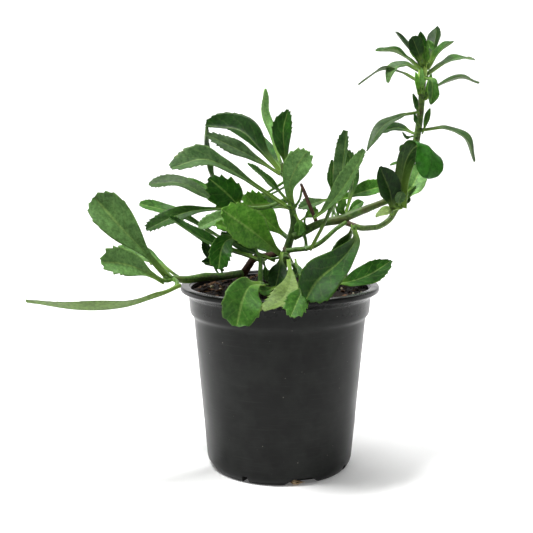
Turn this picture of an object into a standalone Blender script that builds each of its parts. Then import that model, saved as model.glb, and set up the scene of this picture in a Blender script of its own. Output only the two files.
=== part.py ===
"""Potted scaevola: a young fan-flower plant in a round black nursery pot.

The pot stands on its flat base. The origin is the centre of that base, +Z is up and -Y is the
front. Sizes are in millimetres and are turned to metres where the meshes are made.
"""

import math
from dataclasses import dataclass

import bpy
from mathutils import Vector

MM = 0.001
GAP = 0.3                     # clearance between pieces that touch

# Nursery pot
RIM_RADIUS = 78.0
POT_HEIGHT = 144.8
BASE_RADIUS = 54.0
WALL = 1.6
FLOOR = 1.8
POT_STEPS = 48
NOTCH_HEIGHT = 5.5
NOTCH_DEPTH = 26.0            # radial length of a notch cutter
NOTCH_CENTRE_RADIUS = 60.0
WIDE_NOTCH = (28.0, 15.0)     # width at the base and at the top
NARROW_NOTCH = (6.0, 5.0)
NOTCH_PAIRS = 4
FIRST_WIDE_NOTCH_DEG = 17.0   # turned from the front towards +X

# Potting soil
SOIL_CROWN = 148.6            # height of the mound in the middle
SOIL_EDGE = 139.0             # height along the wall
SOIL_STEPS = 40

# Leaves
LEAF_THICKNESS = 0.9
LEAF_ROWS = 8
STALK_SHARE = 0.17            # stalk width as a share of the blade width
BLUNT_FROM = 0.65             # a leaf that is widest past this has a blunt tip

STEM_SEGMENTS = 4             # straight pieces between two route points


@dataclass(frozen=True)
class Stem:
    """A tapering stem along a smooth route; its radii are spread evenly from root to tip."""

    name: str
    route: list
    radii: list


@dataclass(frozen=True)
class Leaf:
    """A spoon-shaped leaf along a smooth midline, from its stalk to its tip.

    turn is how many degrees the upper face is turned from the front towards the sky, twist is
    what is added to it at the tip, and fold is the slope of the two halves of the blade. stalk and
    widest are shares of the length: where the blade begins to widen and where it is widest.
    """

    name: str
    midline: list
    width: float
    turn: float
    twist: float
    fold: float
    stalk: float
    widest: float


# Routes and midlines are in millimetres from the middle of the pot's base.
STEMS = (
    Stem("stem_main",
         [(1, 4, 150), (4, 3, 166), (8, 2, 179), (11, 0, 191),
          (10, 0, 202), (6, 3, 218), (2, 6, 237)],
         radii=[3.6, 3.2, 3.0, 2.9, 2.7, 2.0, 1.3]),
    Stem("stem_left_low",
         [(-32, 20, 150), (-46, 4, 150), (-58, -12, 152), (-70, -25, 152),
          (-81, -33, 154)],
         radii=[3.4, 3.8, 4.0, 3.6, 2.6]),
    Stem("stem_woody_stump", [(-30, 24, 148), (-25, 20, 156), (-20, 14, 163), (-9, 10, 166)],
         radii=[3.2, 3.0, 2.8, 2.2]),
    Stem("stem_green_basal", [(-15, -22, 148), (-15, -20, 155), (-15, -17, 164)],
         radii=[2.0, 2.0, 1.7]),
    Stem("stem_right_branch", [(16, -3, 185), (31, -6, 193), (46, -6, 196), (62, -4, 202), (78, 0, 208)],
         radii=[3.1, 3.2, 3.3, 3.1, 2.6]),
    Stem("stem_curved",
         [(56, -8, 192), (62, -10, 190), (69, -10, 190), (77, -8, 191),
          (85, -5, 196), (90, -1, 203), (92, 0, 206)],
         radii=[2.2, 2.2, 2.2, 2.2, 2.2, 2.2, 2.4]),
    Stem("stem_tall_shoot",
         [(93, 1, 209), (98, 2, 226), (104, 3, 249), (107, 3, 265),
          (109, 3, 288), (109, 3, 300), (110, 3, 313)],
         radii=[2.8, 2.8, 2.7, 2.6, 2.5, 2.5, 1.6]),
    Stem("stem_arch", [(12, -9, 173), (23, -13, 175), (32, -15, 180), (42, -15, 189), (47, -12, 192)],
         radii=[1.9, 1.9, 1.8, 1.7, 1.5]),
    Stem("stem_red_twig", [(26, -20, 199), (23, -22, 206), (19, -23, 216), (16, -24, 223)],
         radii=[1.4, 1.5, 1.4, 1.1]),
)

LEAVES = (
    # low shoot on the left
    Leaf("leaf_low_broad", [(-85, -36, 156), (-99, -42, 174), (-116, -46, 194), (-136, -42, 216)],
         width=27, turn=18, twist=0, fold=0.25, stalk=0.5, widest=0.8),
    Leaf("leaf_low_front", [(-88, -44, 154), (-101, -54, 164), (-114, -62, 170), (-127, -70, 172)],
         width=21, turn=36, twist=0, fold=0.2, stalk=0.15, widest=0.68),
    Leaf("leaf_low_back", [(-87, -24, 158), (-101, -16, 167), (-118, -8, 170), (-137, -2, 166)],
         width=18, turn=55, twist=0, fold=0.2, stalk=0.15, widest=0.68),
    Leaf("leaf_low_narrow", [(-82, -14, 155), (-96, 0, 163), (-110, 12, 169), (-128, 22, 170)],
         width=12, turn=76, twist=0, fold=0.1, stalk=0.3, widest=0.6),
    Leaf("leaf_low_long",
         [(-76, -46, 150), (-88, -56, 146), (-113, -66, 140), (-143, -70, 139),
          (-182, -66, 143)],
         width=22, turn=115, twist=0, fold=0.15, stalk=0.3, widest=0.6),
    # middle left
    Leaf("leaf_left_stalked",
         [(-24, 22, 166), (-47, 34, 177), (-81, 42, 196), (-99, 44, 201),
          (-116, 44, 205)],
         width=13, turn=50, twist=0, fold=0.15, stalk=0.5, widest=0.78),
    Leaf("leaf_left_band", [(-14, -2, 163), (-40, -18, 175), (-60, -32, 186), (-81, -46, 201)],
         width=17, turn=72, twist=0, fold=0.15, stalk=0.2, widest=0.62),
    Leaf("leaf_left_drooped",
         [(1, 8, 207), (-45, 2, 204), (-68, -8, 203), (-85, -18, 198),
          (-101, -26, 190)],
         width=14, turn=42, twist=0, fold=0.2, stalk=0.5, widest=0.74),
    Leaf("leaf_left_long", [(-14, 18, 204), (-52, 24, 210), (-79, 28, 223), (-106, 30, 222)],
         width=15, turn=48, twist=0, fold=0.15, stalk=0.3, widest=0.76),
    Leaf("leaf_left_dark", [(-30, -14, 205), (-38, -24, 215), (-53, -34, 229)],
         width=24, turn=0, twist=0, fold=0.2, stalk=0.1, widest=0.6),
    Leaf("leaf_left_upright", [(-38, 28, 212), (-55, 38, 228), (-60, 46, 251), (-60, 50, 270)],
         width=14, turn=75, twist=0, fold=0.15, stalk=0.2, widest=0.6),
    Leaf("leaf_left_nodding", [(-26, -18, 183), (-39, -28, 183), (-44, -36, 176), (-46, -40, 162)],
         width=17, turn=10, twist=0, fold=0.2, stalk=0.1, widest=0.7),
    Leaf("leaf_left_under", [(-6, -8, 165), (-27, -16, 175), (-45, -20, 187)],
         width=14, turn=60, twist=0, fold=0.15, stalk=0.15, widest=0.6),
    # upper left
    Leaf("leaf_upper_arched",
         [(5, -5, 206), (-21, -16, 224), (-43, -28, 239), (-59, -36, 244),
          (-80, -44, 237)],
         width=21, turn=50, twist=0, fold=0.2, stalk=0.4, widest=0.74),
    Leaf("leaf_upper_broad", [(1, 10, 231), (-14, 18, 249), (-32, 28, 267), (-60, 38, 270)],
         width=22, turn=42, twist=0, fold=0.3, stalk=0.2, widest=0.7),
    Leaf("leaf_upper_grey", [(-2, -2, 232), (-19, -6, 243), (-36, -8, 252), (-56, -8, 261)],
         width=14, turn=42, twist=0, fold=0.15, stalk=0.2, widest=0.66),
    Leaf("leaf_upper_narrow", [(6, -10, 211), (-8, -22, 226), (-24, -34, 240)],
         width=9, turn=62, twist=0, fold=0.1, stalk=0.2, widest=0.55),
    Leaf("leaf_upper_pale", [(0, 10, 242), (-6, 18, 259), (-12, 28, 281), (-11, 36, 298)],
         width=13, turn=58, twist=0, fold=0.2, stalk=0.2, widest=0.6),
    Leaf("leaf_upper_dark", [(5, 0, 236), (3, -6, 249), (2, -8, 265), (6, -6, 280)],
         width=16, turn=22, twist=0, fold=0.25, stalk=0.15, widest=0.62),
    # centre
    Leaf("leaf_centre_light", [(10, -8, 207), (7, -16, 223), (12, -22, 237), (20, -26, 249)],
         width=20, turn=8, twist=0, fold=0.15, stalk=0.15, widest=0.72),
    Leaf("leaf_centre_broad", [(0, -12, 170), (-13, -28, 183), (-25, -42, 194), (-42, -58, 208)],
         width=27, turn=16, twist=0, fold=0.2, stalk=0.1, widest=0.66),
    Leaf("leaf_centre_back", [(4, 10, 182), (-9, 12, 193), (-27, 10, 215)],
         width=21, turn=18, twist=0, fold=0.15, stalk=0.15, widest=0.72),
    Leaf("leaf_centre_rolled", [(38, 2, 211), (26, -6, 209), (14, -10, 205)],
         width=11, turn=45, twist=0, fold=0.2, stalk=0.2, widest=0.6),
    Leaf("leaf_centre_low", [(1, -22, 170), (-1, -32, 160), (-4, -38, 147)],
         width=15, turn=15, twist=0, fold=0.15, stalk=0.2, widest=0.66),
    # right of the centre
    Leaf("leaf_right_folded",
         [(24, -20, 176), (34, -26, 197), (43, -27, 220), (46, -24, 242),
          (49, -20, 264)],
         width=15, turn=46, twist=0, fold=0.4, stalk=0.5, widest=0.74),
    Leaf("leaf_right_toothed", [(52, 8, 199), (58, 17, 218), (59, 25, 233), (55, 30, 249)],
         width=13, turn=35, twist=0, fold=0.2, stalk=0.2, widest=0.66),
    Leaf("leaf_right_diagonal", [(27, -23, 200), (34, -31, 207), (48, -40, 227), (60, -46, 250)],
         width=15, turn=50, twist=0, fold=0.2, stalk=0.35, widest=0.66),
    Leaf("leaf_right_level", [(42, 9, 207), (57, 21, 213), (74, 30, 218), (89, 38, 221)],
         width=15, turn=42, twist=0, fold=0.2, stalk=0.2, widest=0.66),
    # tall shoot
    Leaf("leaf_shoot_dark", [(86, -8, 202), (84, -14, 218), (75, -20, 237)],
         width=22, turn=12, twist=0, fold=0.2, stalk=0.15, widest=0.6),
    Leaf("leaf_shoot_recurved",
         [(92, -5, 210), (90, -10, 228), (94, -14, 243), (102, -20, 252),
          (109, -29, 250), (110, -35, 240), (107, -36, 229)],
         width=22, turn=5, twist=0, fold=0.15, stalk=0.35, widest=0.78),
    Leaf("leaf_shoot_olive", [(99, 8, 210), (105, 16, 219), (114, 24, 237)],
         width=18, turn=20, twist=0, fold=0.15, stalk=0.15, widest=0.66),
    Leaf("leaf_shoot_left", [(104, -2, 278), (91, -10, 275), (76, -20, 267), (64, -28, 249)],
         width=15, turn=58, twist=0, fold=0.15, stalk=0.25, widest=0.62),
    Leaf("leaf_shoot_back", [(105, 8, 262), (94, 22, 267), (81, 34, 264)],
         width=13, turn=52, twist=0, fold=0.15, stalk=0.2, widest=0.62),
    Leaf("leaf_shoot_right", [(111, 0, 265), (125, -10, 266), (139, -18, 259), (145, -24, 241)],
         width=15, turn=60, twist=0, fold=0.15, stalk=0.25, widest=0.66),
    # whorl at the top of the tall shoot
    Leaf("leaf_top_far_left", [(105, 4, 303), (93, 12, 310), (79, 22, 312), (63, 30, 301)],
         width=13, turn=86, twist=0, fold=0.1, stalk=0.2, widest=0.6),
    Leaf("leaf_top_left", [(106, -1, 312), (95, -8, 319), (84, -16, 323), (70, -24, 322)],
         width=13, turn=74, twist=0, fold=0.15, stalk=0.2, widest=0.6),
    Leaf("leaf_top_up_left", [(108, 5, 316), (101, 12, 327), (91, 22, 341)],
         width=12, turn=68, twist=0, fold=0.15, stalk=0.15, widest=0.6),
    Leaf("leaf_top_facing", [(107, -3, 316), (103, -8, 324), (98, -13, 333)],
         width=14, turn=8, twist=0, fold=0.15, stalk=0.1, widest=0.66),
    Leaf("leaf_top_up_right", [(113, 5, 317), (119, 14, 330), (123, 22, 345)],
         width=13, turn=52, twist=0, fold=0.2, stalk=0.15, widest=0.6),
    Leaf("leaf_top_right", [(114, 1, 313), (120, -6, 324), (129, -12, 330)],
         width=12, turn=76, twist=0, fold=0.15, stalk=0.15, widest=0.55),
    Leaf("leaf_top_far_right", [(113, 6, 307), (129, 16, 317), (143, 26, 322), (156, 34, 321)],
         width=14, turn=72, twist=0, fold=0.15, stalk=0.2, widest=0.6),
    Leaf("leaf_top_level", [(113, 1, 290), (117, -7, 297), (133, -21, 303), (144, -32, 298)],
         width=13, turn=84, twist=0, fold=0.1, stalk=0.2, widest=0.6),
    Leaf("leaf_top_hanging", [(111, -3, 304), (113, -15, 301), (113, -20, 292), (112, -20, 283)],
         width=13, turn=28, twist=0, fold=0.15, stalk=0.1, widest=0.62),
    # over the pot's rim
    Leaf("leaf_rim_left", [(-14, -54, 153), (-22, -74, 155), (-27, -88, 146), (-31, -92, 130)],
         width=28, turn=4, twist=0, fold=0.15, stalk=0.12, widest=0.66),
    Leaf("leaf_rim_pale", [(6, -46, 168), (7, -58, 158), (2, -78, 149), (-12, -92, 141)],
         width=21, turn=38, twist=18, fold=0.15, stalk=0.2, widest=0.7),
    Leaf("leaf_rim_centre", [(16, -68, 153), (12, -86, 149), (6, -98, 138)],
         width=16, turn=10, twist=0, fold=0.15, stalk=0.12, widest=0.66),
    Leaf("leaf_rim_broad", [(56, -14, 190), (56, -30, 182), (44, -52, 171), (31, -76, 160), (22, -91, 148)],
         width=28, turn=12, twist=0, fold=0.25, stalk=0.25, widest=0.82),
    Leaf("leaf_rim_right", [(40, -20, 148), (54, -20, 150), (70, -14, 155), (87, -6, 164)],
         width=19, turn=38, twist=0, fold=0.15, stalk=0.2, widest=0.6),
)

MATERIALS = {
    "pot_plastic": ((0.022, 0.023, 0.021), 0.38),
    "potting_soil": ((0.030, 0.018, 0.010), 0.95),
    "pale_root": ((0.42, 0.26, 0.14), 0.85),
    "green_stem": ((0.10, 0.14, 0.035), 0.60),
    "woody_stem": ((0.10, 0.055, 0.035), 0.80),
    "leaf_green": ((0.060, 0.155, 0.040), 0.48),
}
WOODY_STEMS = ("stem_woody_stump", "stem_red_twig")


def clear_scene():
    """Remove every object that the scene holds."""
    for item in list(bpy.data.objects):
        bpy.data.objects.remove(item, do_unlink=True)


def make_collection(name):
    """Return a new collection that is linked to the scene."""
    collection = bpy.data.collections.new(name)
    bpy.context.scene.collection.children.link(collection)
    return collection


def make_materials():
    """Return one Principled material for each entry in MATERIALS."""
    made = {}
    for name, (colour, roughness) in MATERIALS.items():
        material = bpy.data.materials.new(name)
        material.use_nodes = True
        shader = material.node_tree.nodes["Principled BSDF"]
        shader.inputs["Base Color"].default_value = (*colour, 1.0)
        shader.inputs["Roughness"].default_value = roughness
        made[name] = material
    return made


def place_in(collection, item, material):
    """Move an object to a collection and give it its material."""
    for holder in list(item.users_collection):
        holder.objects.unlink(item)
    collection.objects.link(item)
    item.data.materials.clear()
    item.data.materials.append(material)


def smooth_route(points, count):
    """Return count + 1 points in metres on a Catmull-Rom curve through the given points."""
    knots = [Vector(point) for point in points]
    first = 2 * knots[0] - knots[1]
    last = 2 * knots[-1] - knots[-2]
    knots = [first, *knots, last]
    spans = len(points) - 1
    route = []
    for step in range(count + 1):
        along = step / count * spans
        span = min(int(along), spans - 1)
        t = along - span
        a, b, c, d = knots[span:span + 4]
        point = 2 * b + (c - a) * t + (2 * a - 5 * b + 4 * c - d) * t ** 2
        point += (3 * b - a - 3 * c + d) * t ** 3
        route.append(point * 0.5 * MM)
    return route


def turned(name, profile, steps):
    """Turn a profile of (radius, height) about Z; the profile runs down its outer side."""
    mesh = bpy.data.meshes.new(name)
    points = [(radius * MM, 0.0, height * MM) for radius, height in profile]
    edges = [(i, i + 1) for i in range(len(points) - 1)]
    mesh.from_pydata(points, edges, [])
    item = bpy.data.objects.new(name, mesh)
    screw = item.modifiers.new("Turn", "SCREW")
    screw.steps = steps
    screw.render_steps = steps
    screw.use_merge_vertices = True
    screw.merge_threshold = 0.00005
    screw.use_smooth_shade = True
    return item


def tube(name, route, radii):
    """Make a round stem with closed ends whose radius changes along the route."""
    curve = bpy.data.curves.new(name, "CURVE")
    curve.dimensions = "3D"
    curve.bevel_depth = MM
    curve.bevel_resolution = 2
    curve.use_fill_caps = True
    count = STEM_SEGMENTS * (len(route) - 1)
    points = smooth_route(route, count)
    spline = curve.splines.new("POLY")
    spline.points.add(len(points) - 1)
    for i, point in enumerate(points):
        along = i / count * (len(radii) - 1)
        lower = min(int(along), len(radii) - 2)
        share = along - lower
        spline.points[i].co = (*point, 1.0)
        spline.points[i].radius = radii[lower] * (1 - share) + radii[lower + 1] * share
    return bpy.data.objects.new(name, curve)


def wall_profile():
    """Return the pot's section: up the inner side, over the rim and down the outer side."""
    outer = [
        (RIM_RADIUS, POT_HEIGHT - 0.9),
        (RIM_RADIUS, POT_HEIGHT - 3.3),
        (72.4, 137.6),
        (71.5, 136.4),
        (70.6, 123.6),
        (67.8, 119.6),
        (67.4, 115.5),
        (58.2, 9.0),
        (57.0, 4.0),
        (BASE_RADIUS, 0.0),
        (0.0, 0.0),
    ]
    inner = [
        (0.0, FLOOR),
        (BASE_RADIUS - WALL, FLOOR),
        (57.0 - WALL, 5.0),
        (58.2 - WALL, 9.4),
        (67.4 - WALL, 116.0),
        (67.8 - WALL, 120.6),
        (70.6 - WALL, 124.4),
        (71.5 - WALL, POT_HEIGHT - 1.5),
        (72.4, POT_HEIGHT - 0.3),
        (73.4, POT_HEIGHT),
        (RIM_RADIUS - 1.0, POT_HEIGHT),
    ]
    return inner + outer


def notch_cutter(name, widths, angle_deg):
    """Make the wedge that cuts one drain notch through the wall and the base corner."""
    wide, narrow = widths
    bpy.ops.mesh.primitive_cube_add(size=1.0)
    cutter = bpy.context.object
    cutter.name = name
    for vertex in cutter.data.vertices:
        upper = vertex.co.z > 0
        vertex.co.x *= (narrow if upper else wide + (wide - narrow) * 0.2) * MM
        vertex.co.y *= NOTCH_DEPTH * MM
        vertex.co.z = (NOTCH_HEIGHT if upper else -1.0) * MM
    angle = math.radians(angle_deg)
    cutter.location = (NOTCH_CENTRE_RADIUS * MM * math.sin(angle),
                       -NOTCH_CENTRE_RADIUS * MM * math.cos(angle), 0.0)
    cutter.rotation_euler = (0.0, 0.0, angle)
    cutter.hide_render = True
    cutter.display_type = "WIRE"
    return cutter


def build_pot(collection, cutters, material):
    """Build the thin-walled pot with its rolled rim, collar and drain notches."""
    pot = turned("nursery_pot", wall_profile(), POT_STEPS)
    place_in(collection, pot, material)
    spacing = 360.0 / NOTCH_PAIRS
    for pair in range(NOTCH_PAIRS):
        wide_angle = FIRST_WIDE_NOTCH_DEG + pair * spacing
        for kind, widths, angle in (("wide", WIDE_NOTCH, wide_angle),
                                    ("narrow", NARROW_NOTCH, wide_angle + spacing / 2)):
            cutter = notch_cutter(f"{kind}_notch_cutter_{pair + 1}", widths, angle)
            place_in(cutters, cutter, material)
            cut = pot.modifiers.new(f"{kind} notch {pair + 1}", "BOOLEAN")
            cut.operation = "DIFFERENCE"
            cut.solver = "EXACT"
            cut.object = cutter


def build_soil(collection, material):
    """Build the soil that fills the pot, with a low mound where the stems come out."""
    space = WALL + GAP + 0.2
    profile = [
        (0.0, SOIL_CROWN),
        (20.0, SOIL_CROWN - 0.7),
        (45.0, SOIL_CROWN - 4.4),
        (60.0, SOIL_EDGE + 1.6),
        (71.0 - space, SOIL_EDGE),
        (70.6 - space, 125.0),
        (67.8 - space, 121.2),
        (67.4 - space, 116.0),
        (58.2 - space, 10.0),
        (45.0, NOTCH_HEIGHT + 1.5),
        (43.0, FLOOR + GAP),
        (0.0, FLOOR + GAP),
    ]
    place_in(collection, turned("potting_soil", profile, SOIL_STEPS), material)


def build_root_tuft(collection, material):
    """Build the strand of pale root that lies in the front drain notch."""
    route = [(4, -50, 2), (9, -52, 2), (14, -51, 2), (17, -48, 3)]
    place_in(collection, tube("root_tuft", route, [1.2, 1.5, 1.4, 1.0]), material)


def half_width(leaf, share):
    """Return half of the blade's width at a share of the leaf's length."""
    start = leaf.stalk / 2
    if share < leaf.widest:
        t = max(0.0, (share - start) / (leaf.widest - start))
        breadth = STALK_SHARE + (1 - STALK_SHARE) * t * t * (3 - 2 * t)
    else:
        t = (share - leaf.widest) / (1 - leaf.widest)
        power = 0.5 if leaf.widest >= BLUNT_FROM else 0.75
        breadth = max(STALK_SHARE, (1 - t ** 2.4) ** power)
    return leaf.width / 2 * breadth * MM


def build_leaf(leaf, collection, material):
    """Shape a grid along the leaf's midline and thicken it."""
    bpy.ops.mesh.primitive_grid_add(x_subdivisions=2, y_subdivisions=LEAF_ROWS, size=2.0)
    blade = bpy.context.object
    blade.name = leaf.name
    blade.data.name = leaf.name
    midline = smooth_route(leaf.midline, LEAF_ROWS)
    chord = midline[-1] - midline[0]
    chord.y = 0.0
    chord.normalize()
    upright = Vector((chord.z, 0.0, -chord.x))
    sense = -1.0 if chord.x > 0 else 1.0
    for vertex in blade.data.vertices:
        across = vertex.co.x
        share = (vertex.co.y + 1.0) / 2.0
        row = round(share * LEAF_ROWS)
        ahead = midline[min(row + 1, LEAF_ROWS)]
        behind = midline[max(row - 1, 0)]
        tangent = (ahead - behind).normalized()
        angle = math.radians(sense * (leaf.turn + leaf.twist * share))
        side = upright * math.cos(angle) + Vector((0.0, math.sin(angle), 0.0))
        side = (side - side.dot(tangent) * tangent).normalized()
        normal = side.cross(tangent)
        half = half_width(leaf, share)
        rise = (abs(across) - 0.5) * half * leaf.fold
        vertex.co = midline[row] + side * across * half + normal * rise
    blade.data.shade_smooth()
    solidify = blade.modifiers.new("Thickness", "SOLIDIFY")
    solidify.thickness = LEAF_THICKNESS * MM
    solidify.offset = 0.0
    place_in(collection, blade, material)


def main():
    """Build the whole plant in its pot."""
    clear_scene()
    parts = make_collection("potted_scaevola")
    cutters = make_collection("cutters")
    materials = make_materials()
    build_pot(parts, cutters, materials["pot_plastic"])
    build_soil(parts, materials["potting_soil"])
    build_root_tuft(parts, materials["pale_root"])
    for stem in STEMS:
        kind = "woody_stem" if stem.name in WOODY_STEMS else "green_stem"
        place_in(parts, tube(stem.name, stem.route, stem.radii), materials[kind])
    for leaf in LEAVES:
        build_leaf(leaf, parts, materials["leaf_green"])


main()
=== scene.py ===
"""The looks of a young potted scaevola: leaves, stems, soil and a black nursery pot.

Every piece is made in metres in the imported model's own frame: the origin is the middle of the
pot's flat base, +Z is up and -Y is the front. Sizes in the tables are in millimetres.
"""

import logging
import math
import random
from dataclasses import dataclass, field
from enum import Enum
from typing import Any, Sequence

import bpy
import numpy as np
from mathutils import Matrix, Vector, noise


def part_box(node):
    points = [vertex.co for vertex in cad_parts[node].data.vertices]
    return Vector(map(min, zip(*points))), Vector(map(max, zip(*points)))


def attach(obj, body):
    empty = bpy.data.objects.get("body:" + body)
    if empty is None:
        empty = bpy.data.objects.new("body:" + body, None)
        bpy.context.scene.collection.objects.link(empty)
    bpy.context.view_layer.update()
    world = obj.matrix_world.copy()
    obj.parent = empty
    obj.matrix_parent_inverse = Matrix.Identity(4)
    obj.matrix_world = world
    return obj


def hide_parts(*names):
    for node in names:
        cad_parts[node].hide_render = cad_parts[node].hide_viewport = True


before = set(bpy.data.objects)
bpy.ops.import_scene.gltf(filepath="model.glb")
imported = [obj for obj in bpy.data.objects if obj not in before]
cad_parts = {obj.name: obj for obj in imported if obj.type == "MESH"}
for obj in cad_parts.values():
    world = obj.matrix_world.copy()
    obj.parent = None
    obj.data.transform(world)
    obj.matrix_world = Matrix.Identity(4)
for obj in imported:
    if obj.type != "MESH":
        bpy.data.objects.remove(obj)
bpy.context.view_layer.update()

LOG = logging.getLogger("potted_scaevola")
MM = 0.001
BODY = "root"

Point = tuple[float, float, float]
Pair = tuple[float, float]
Colour = tuple[float, float, float, float]


class Tone(Enum):
    """The colour family of a leaf."""

    # the next tone is the leaf skin painted in shade
    DARK = "dark"
    DEEP = "deep"
    MID = "mid"
    BRIGHT = "bright"
    OLIVE = "olive"
    GREY = "grey"
    PALE = "pale"
    GLOSSY = "glossy"


class Bark(Enum):
    """The skin of a stem."""

    GREEN = "green"
    OLIVE = "olive"
    PURPLE = "purple"
    WOODY = "woody"
    # the shoot hub's skin: partly its own yellow-green, partly painted light on the shaded hub
    FRESH = "fresh"


class Grain(Enum):
    """What lies loose on the soil."""

    CRUMB = "crumb"
    CHIP = "chip"
    PERLITE = "perlite"


@dataclass(frozen=True)
class Leaf:
    """A spoon-shaped leaf along a smooth midline, from the foot of its stalk to its tip.

    width is across the blade, in millimetres. turn is how many degrees the upper face is turned
    from the front towards the sky, twist is what is added to it at the tip, and fold is the slope
    of the two halves of the blade. stalk and widest are shares of the length: where the blade
    begins to widen and where it is widest. teeth makes the margin's teeth larger or smaller, neck
    is the share of the width that the stalk keeps, and tint makes the whole leaf lighter or darker;
    it is partly the leaf's own tone and partly painted light and shade.
    """

    midline: list[Point]
    tone: Tone
    width: float
    turn: float
    fold: float = 0.15
    stalk: float = 0.2
    widest: float = 0.66
    twist: float = 0.0
    teeth: float = 1.0
    neck: float = 0.17
    tint: float = 1.0


@dataclass(frozen=True)
class Stem:
    """A tapering stem along a smooth route.

    radii are spread evenly along the route. root_reach and tip_reach lengthen it at its ends, so
    that it runs into the stem or soil that it grows from, and node says whether the CAD model has
    a node of the same name.
    """

    name: str
    route: list[Point]
    radii: list[float]
    bark: Bark
    root_reach: float = 3.0
    tip_reach: float = 0.0
    node: bool = True
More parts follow.
